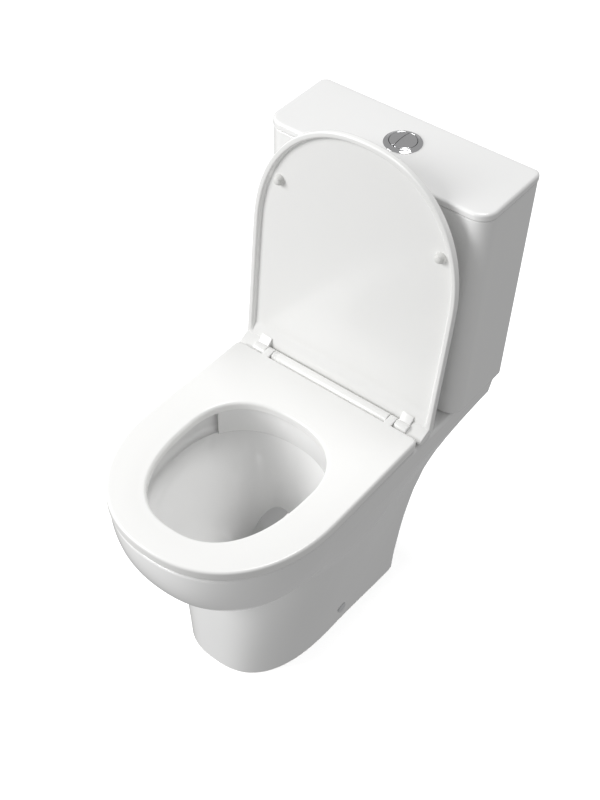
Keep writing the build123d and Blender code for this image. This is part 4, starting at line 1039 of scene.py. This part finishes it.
class TOILET_OT_seat(bpy.types.Operator):
    """Build the seat ring and its arms"""
    bl_idname = "toilet.seat"
    bl_label = "Seat"

    def execute(self, context):
        sizes = context.scene.toilet_seat
        plastic = finish_of("seat_plastic")
        low, top = RIM_Z + 0.004, SEAT_TOP
        rear = 0.0986
        phi = columns(sizes.half_width - 0.003, rear + sizes.widest - 0.003)[None, :]
        turn = quarter(8)[:, None]
        r, small, inner = sizes.edge, 0.002, 0.0055

        def outer(inset, z):
            return ring_points(phi, seat_radius(phi, sizes, inset, rear), -sizes.widest, z)

        def hole(inset, z):
            return oval(phi, sizes.hole_half_width + inset, sizes.hole_front + inset,
                        sizes.hole_rear + inset, 2.4, -sizes.hole_centre, z)
        dish = 0.0012
        outside, inside = outer(r + 0.004, top - 0.0001), hole(inner + 0.006, top - dish)
        share = np.linspace(0.1, 0.92, 9)[:, None, None]
        face = outside * (1 - share) + inside * share
        face[..., 2] += dish * 0.35 * np.sin(share[..., 0] * math.pi)
        floor = hole(small + 0.001, low)
        base = outer(small + 0.001, low)
        span = np.array([0.1, 0.5, 0.9])[:, None, None]
        parts = [outer(small * (1 - np.cos(turn)), low + small * (1 - np.sin(turn)))[::-1],
                 outer(0 * turn[:3], np.linspace(low + small + 0.002, top - r - 0.001, 3)[:, None]),
                 outer(r * (1 - np.cos(turn)), top - r * (1 - np.sin(turn)))[:-1],
                 outer(r + 0.0006 * turn[1:2], top), outside, face, inside,
                 hole(inner + 0.0006 * turn[1:2], top - dish),
                 hole(inner * (1 - np.sin(turn)), top - dish - inner * (1 - np.cos(turn)))[1:],
                 hole(0 * turn[:2], np.array([low + 0.007, low + small + 0.001])[:, None]),
                 hole(small * (1 - np.cos(turn)), low + small * (1 - np.sin(turn))),
                 floor * (1 - span) + base * span]
        add_piece("seat_ring", np.concatenate(parts), plastic, "seat_ring",
                  ["seat"], closed_rows=True)
        for word, side in SIDES:
            ends = sorted((side * 0.1145, side * 0.1275))
            grid = arm_grid(ends[0], ends[1], rear - 0.007, low + 0.0004, top - 0.0001, BAR_RADIUS)
            arm = add_piece("seat_arm_" + word, grid, plastic, "seat_ring",
                            sharp=60)
            bore = barrel(ends[0] - 0.002, ends[1] + 0.002, PIN_BORE, 0.00001, 0.0)
            cut(arm, [(bore, True)])
        return {"FINISHED"}


class TOILET_OT_cover(bpy.types.Operator):
    """Build the raised cover with its knuckles, webs and corners"""
    bl_idname = "toilet.cover"
    bl_label = "Cover"

    def execute(self, context):
        sizes = context.scene.toilet_seat
        plastic = finish_of("seat_plastic")
        low = SEAT_TOP + sizes.cover_lift
        top = low + sizes.cover_depth
        plate = top - sizes.cover_plate
        rear = HINGE[1] + 0.005
        phi = columns(sizes.half_width - 0.003, rear + sizes.widest - 0.003)[None, :]
        turn = quarter(8)[:, None]
        r, small = 0.0060, 0.0025
        lip = sizes.lip_width

        def rings(inset, z):
            radius = seat_radius(phi, sizes, inset, rear, LID_GROWTH, LID_CORNER)
            return ring_points(phi, radius, -sizes.widest, z)
        crown = 0.0012
        spread = np.linspace(0.02, 0.93, 12)[:, None]
        full = seat_radius(phi, sizes, r, rear, LID_GROWTH, LID_CORNER)
        face = ring_points(phi, full * spread, -sizes.widest, top - crown * spread ** 2)
        inner = seat_radius(phi, sizes, lip + 0.008, rear, LID_GROWTH, LID_CORNER)
        across = np.concatenate([np.linspace(0.98, 0.80, 13), np.linspace(0.73, 0.02, 10)])
        inner_face = ring_points(phi, inner * across[:, None], -sizes.widest, plate)
        outside = [face,
                   rings(r * (1 - np.sin(turn)), top - crown - r * (1 - np.cos(turn))),
                   rings(0 * turn[:2], np.array([top - r - 0.002, low + small + 0.001])[:, None]),
                   rings(small * (1 - np.cos(turn)), low + small * (1 - np.sin(turn)))]
        tray = np.concatenate([
            rings(lip - small * (1.2 - np.sin(turn)), low + small * (1 - np.cos(turn)) * 0.9),
            rings(lip + 0.002 * turn / (math.pi / 2), plate - 0.0055 * np.cos(turn)),
            rings(lip + np.array([0.004, 0.006])[:, None], plate + 0 * turn[:2]), inner_face])
        ramp = np.clip((tray[..., 1] - HINGE[1] + 0.036) / 0.026, 0, 1)
        tray[..., 2] += (low - tray[..., 2]) * ramp ** 2 * (3 - 2 * ramp)
        grid = raise_cover(np.concatenate(outside + [tray]))
        add_piece("seat_lid", grid, plastic, "lid", ["seat_cover"])
        axis = np.array([HINGE[1], HINGE[2]])
        web = np.array([(6.2, -6.0), (14.5, -6.0), (14.5, 19.0), (13.5, 18.0), (4.6, 9.2)]) * MM
        corner = np.array([(-9.8, 0.0), (-10.0, -3.0), (-4.0, -9.0), (14.0, -6.0),
                           (14.0, 11.2), (11.2, 10.5)]) * MM
        for word, side in SIDES:
            ends = sorted((side * 0.1285, side * 0.1510))
            outer_ends = sorted((side * 0.1505, side * 0.1796))
            add_piece("lid_knuckle_" + word, barrel(*ends, BAR_RADIUS, PIN_BORE, 0.0010),
                      plastic, "lid", closed_rows=True, sharp=50)
            add_piece("lid_web_" + word, slab(axis + web, ends[0] + 0.001, ends[1] - 0.001, 0.001),
                      plastic, "lid", sharp=50)
            add_piece("lid_corner_" + word, slab(axis + corner, *outer_ends, 0.0015), plastic,
                      "lid", sharp=50)
        return {"FINISHED"}


class TOILET_OT_hinge(bpy.types.Operator):
    """Build the bar between the seat's arms and the soft buffers"""
    bl_idname = "toilet.hinge"
    bl_label = "Hinge and buffers"

    def execute(self, context):
        sizes = context.scene.toilet_seat
        plastic, rubber = finish_of("seat_plastic"), finish_of("buffer_rubber")
        half, radius = BAR_HIGH[0] - 0.0008, BAR_RADIUS
        groove = 0.00025
        marks = [-half + 0.0060, -half + 0.0085]
        outline = [(0.0070, -half), (radius - 0.0006, -half), (radius, -half + 0.0006)]
        for x in marks:
            outline += [(radius, x - 0.0004), (radius - groove, x), (radius, x + 0.0004)]
        outline += [(radius, half - 0.0006), (radius - 0.0006, half), (0.0070, half)]
        outline += [(0.0070, half - 0.0502), (0.0070, -half + 0.0502)]
        grid = revolve(outline, 0.0, 0.0, 96)
        grid = np.stack([grid[..., 2], grid[..., 0] + HINGE[1], grid[..., 1] + HINGE[2]], axis=-1)
        add_piece("hinge_tube", grid, plastic, "pan_and_cistern", ["hinge_bar"],
                  closed_rows=True, sharp=40)
        for word, side in SIDES:
            x, y = node_axis("seat_bolt_" + word)
            foot = rounded_profile([(0.0032, RIM_Z), (0.0110, RIM_Z), (0.0095, RIM_Z + 0.0035),
                                    (0.0032, RIM_Z + 0.0045)], 0.0006)
            add_piece("hinge_foot_" + word, revolve(foot, x, y, 64), plastic, "pan_and_cistern",
                      closed_rows=True)
            self.add_cover_buffer(word, side, sizes, rubber)
        self.add_seat_buffers(rubber)
        return {"FINISHED"}

    def add_cover_buffer(self, word, side, sizes, rubber):
        """Round domed pad with a stepped collar on the cover's inner face."""
        face = SEAT_TOP + sizes.cover_lift + sizes.cover_depth - sizes.cover_plate
        tip = SEAT_TOP + 0.0004
        arc = quarter(7)
        dome = [(0.0056 * math.cos(a), tip + 0.0024 * (1 - math.sin(a))) for a in arc[::-1]]
        dome[0] = (0.0001, tip)
        rest = [(0.0062, tip + 0.0048), (0.0078, tip + 0.0056), (0.0084, face - 0.001),
                (0.0086, face + 0.0003), (0.0002, face + 0.0006)]
        grid = revolve(dome + rest, side * sizes.buffer_x, HINGE[1] - sizes.buffer_distance, 64)
        replaced = ["cover_buffers"] if side > 0 else []
        add_piece("lid_buffer_" + word, raise_cover(grid), rubber, "lid",
                  replaced, sharp=60)

    def add_seat_buffers(self, rubber):
        """Four pads under the seat, each a rounded strip with a waist."""
        turn = np.linspace(0, 2 * math.pi, 64, endpoint=False)[None, :]
        low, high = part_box("seat_buffers")
        rows = np.array([[0.05, 0], [0.9, 0], [1, 0.12], [0.93, 0.5], [1, 0.9], [0.9, 1.0],
                         [0.05, 1.0]])
        size, level = rows[:, :1], rows[:, 1:]
        replaced = ["seat_buffers"]
        for word, side in SIDES:
            for x, y, lean in ((0.141, -0.205, 24.0), (0.150, 0.020, 0.0)):
                across = 0.0055 * size * np.sign(np.cos(turn)) * np.abs(np.cos(turn)) ** 0.4
                along = 0.0120 * size * np.sign(np.sin(turn)) * np.abs(np.sin(turn)) ** 0.4
                angle = -side * math.radians(lean)
                points = np.stack(np.broadcast_arrays(
                    side * x + across * math.cos(angle) - along * math.sin(angle),
                    y + across * math.sin(angle) + along * math.cos(angle),
                    low[2] + (high[2] - low[2]) * level), axis=-1)
                add_piece(f"seat_buffer_{word}_{'front' if lean else 'back'}", points, rubber,
                          "seat_ring", replaced, sharp=50)
                replaced = []


# ---- CAD nodes that stay -------------------------------------------------------------------
class TOILET_OT_fittings(bpy.types.Operator):
    """Give every valve, bolt, nut and bracket its own finish"""
    bl_idname = "toilet.fittings"
    bl_label = "Fittings"

    def execute(self, context):
        slots = {part["node"]: part["material_slot"] for part in frame["record"]["subparts"]}
        for node, piece in frame["nodes"].items():
            finish = finish_of(slots[node])
            if piece.material_slots:
                piece.material_slots[0].material = finish
            else:
                piece.data.materials.append(finish)
        return {"FINISHED"}


# ---- stage ---------------------------------------------------------------------------------
class TOILET_OT_stage(bpy.types.Operator):
    """Set the pale floor, the soft lights and the camera"""
    bl_idname = "toilet.stage"
    bl_label = "Stage"

    def execute(self, context):
        self.add_floor(context)
        self.add_world(context)
        self.add_lights()
        self.add_camera(context)
        return {"FINISHED"}

    def add_floor(self, context):
        """Large flat square under the object."""
        half = 6.0
        mesh = bpy.data.meshes.new("floor")
        level = CAD_BOX[0][2] - 0.0005
        mesh.from_pydata([(-half, -half, level), (half, -half, level), (half, half, level),
                          (-half, half, level)], [], [(0, 1, 2, 3)])
        mesh.materials.append(studio_floor(context.scene.toilet_colours))
        floor = bpy.data.objects.new("floor", mesh)
        context.scene.collection.objects.link(floor)
        floor.visible_diffuse = False
        floor.visible_glossy = False
        self.backdrop = bpy.data.collections.new("backdrop")
        self.backdrop.objects.link(floor)

    def add_world(self, context):
        world = bpy.data.worlds.new("studio")
        world.use_nodes = True
        world.node_tree.nodes["Background"].inputs["Color"].default_value = (1, 1, 1, 1)
        world.node_tree.nodes["Background"].inputs["Strength"].default_value = 0.37
        context.scene.world = world
        context.scene.view_settings.view_transform = "Standard"

    def add_lights(self):
        """A broad soft key ahead, above and to the left, a low front light for the glaze, a
        lamp overhead and an even wash for the floor."""
        glazed = bpy.data.collections.new("glazed")
        for piece in bpy.data.objects:
            if piece.type == "MESH" and piece.data.materials[:1] == [finish_of("vitreous_china")]:
                glazed.objects.link(piece)
        receivers = {"front": glazed, "wash": self.backdrop}
        for name, place, size, watts in (("key", (-2.07, -2.07, 2.18), 1.6, 78.0),
                                         ("front", (-0.9, -3.2, 0.7), 1.4, 20.0),
                                         ("overhead", (0.1, 0.7, 3.2), 0.9, 26.0),
                                         ("wash", (0.0, 0.0, 4.0), 3.0, 130.0)):
            lamp = bpy.data.lights.new(name, "AREA")
            lamp.size = size
            lamp.energy = watts
            light = bpy.data.objects.new(name, lamp)
            light.location = place
            way = Vector((0.0, 0.0, 0.4)) - Vector(place)
            light.rotation_euler = way.to_track_quat("-Z", "Y").to_euler()
            bpy.context.scene.collection.objects.link(light)
            if name == "wash":
                lamp.use_shadow = False
            if name in receivers:
                light.light_linking.receiver_collection = receivers[name]

    def add_camera(self, context):
        """Long lens that looks down at the pan from its right front."""
        azimuth, elevation = math.radians(39.2), math.radians(47.9)
        back = Vector((math.sin(azimuth) * math.cos(elevation),
                       -math.cos(azimuth) * math.cos(elevation), math.sin(elevation)))
        lens = bpy.data.cameras.new("camera")
        lens.sensor_fit = "AUTO"
        lens.sensor_width = 36.0
        lens.lens = 59.96
        lens.shift_x = 0.0484
        lens.shift_y = 0.0771
        lens.clip_end = 50.0
        camera = bpy.data.objects.new("camera", lens)
        camera.location = (0.8655, -1.1222, 1.9119)
        camera.rotation_euler = (-back).to_track_quat("-Z", "Y").to_euler()
        context.scene.collection.objects.link(camera)
        context.scene.camera = camera


class TOILET_PT_panel(bpy.types.Panel):
    """Sizes, colours and the operators that build each group of pieces"""
    bl_label = "Close Coupled Toilet"
    bl_idname = "TOILET_PT_panel"
    bl_space_type = "VIEW_3D"
    bl_region_type = "UI"
    bl_category = "Toilet"

    def draw(self, context):
        for group in (context.scene.toilet_pan, context.scene.toilet_seat,
                      context.scene.toilet_colours):
            box = self.layout.box()
            for name in type(group).__annotations__:
                box.prop(group, name)
        for operator in OPERATORS:
            self.layout.operator(operator.bl_idname)


OPERATORS = (TOILET_OT_pan, TOILET_OT_cistern, TOILET_OT_button, TOILET_OT_seat, TOILET_OT_cover,
             TOILET_OT_hinge, TOILET_OT_fittings, TOILET_OT_stage)
GROUPS = {"toilet_pan": PanSizes, "toilet_seat": SeatSizes, "toilet_colours": FinishColours}


def register():
    for cls in (*GROUPS.values(), *OPERATORS, TOILET_PT_panel):
        bpy.utils.register_class(cls)
    for name, group in GROUPS.items():
        setattr(bpy.types.Scene, name, PointerProperty(type=group))


def unregister():
    for name in GROUPS:
        delattr(bpy.types.Scene, name)
    for cls in (TOILET_PT_panel, *reversed(OPERATORS), *reversed(GROUPS.values())):
        bpy.utils.unregister_class(cls)


def main():
    register()
    make_finishes(bpy.context.scene.toilet_colours)
    bpy.ops.toilet.pan()
    bpy.ops.toilet.cistern()
    bpy.ops.toilet.button()
    bpy.ops.toilet.seat()
    bpy.ops.toilet.cover()
    bpy.ops.toilet.hinge()
    bpy.ops.toilet.fittings()
    bpy.ops.toilet.stage()


if __name__ == "__main__":
    main()
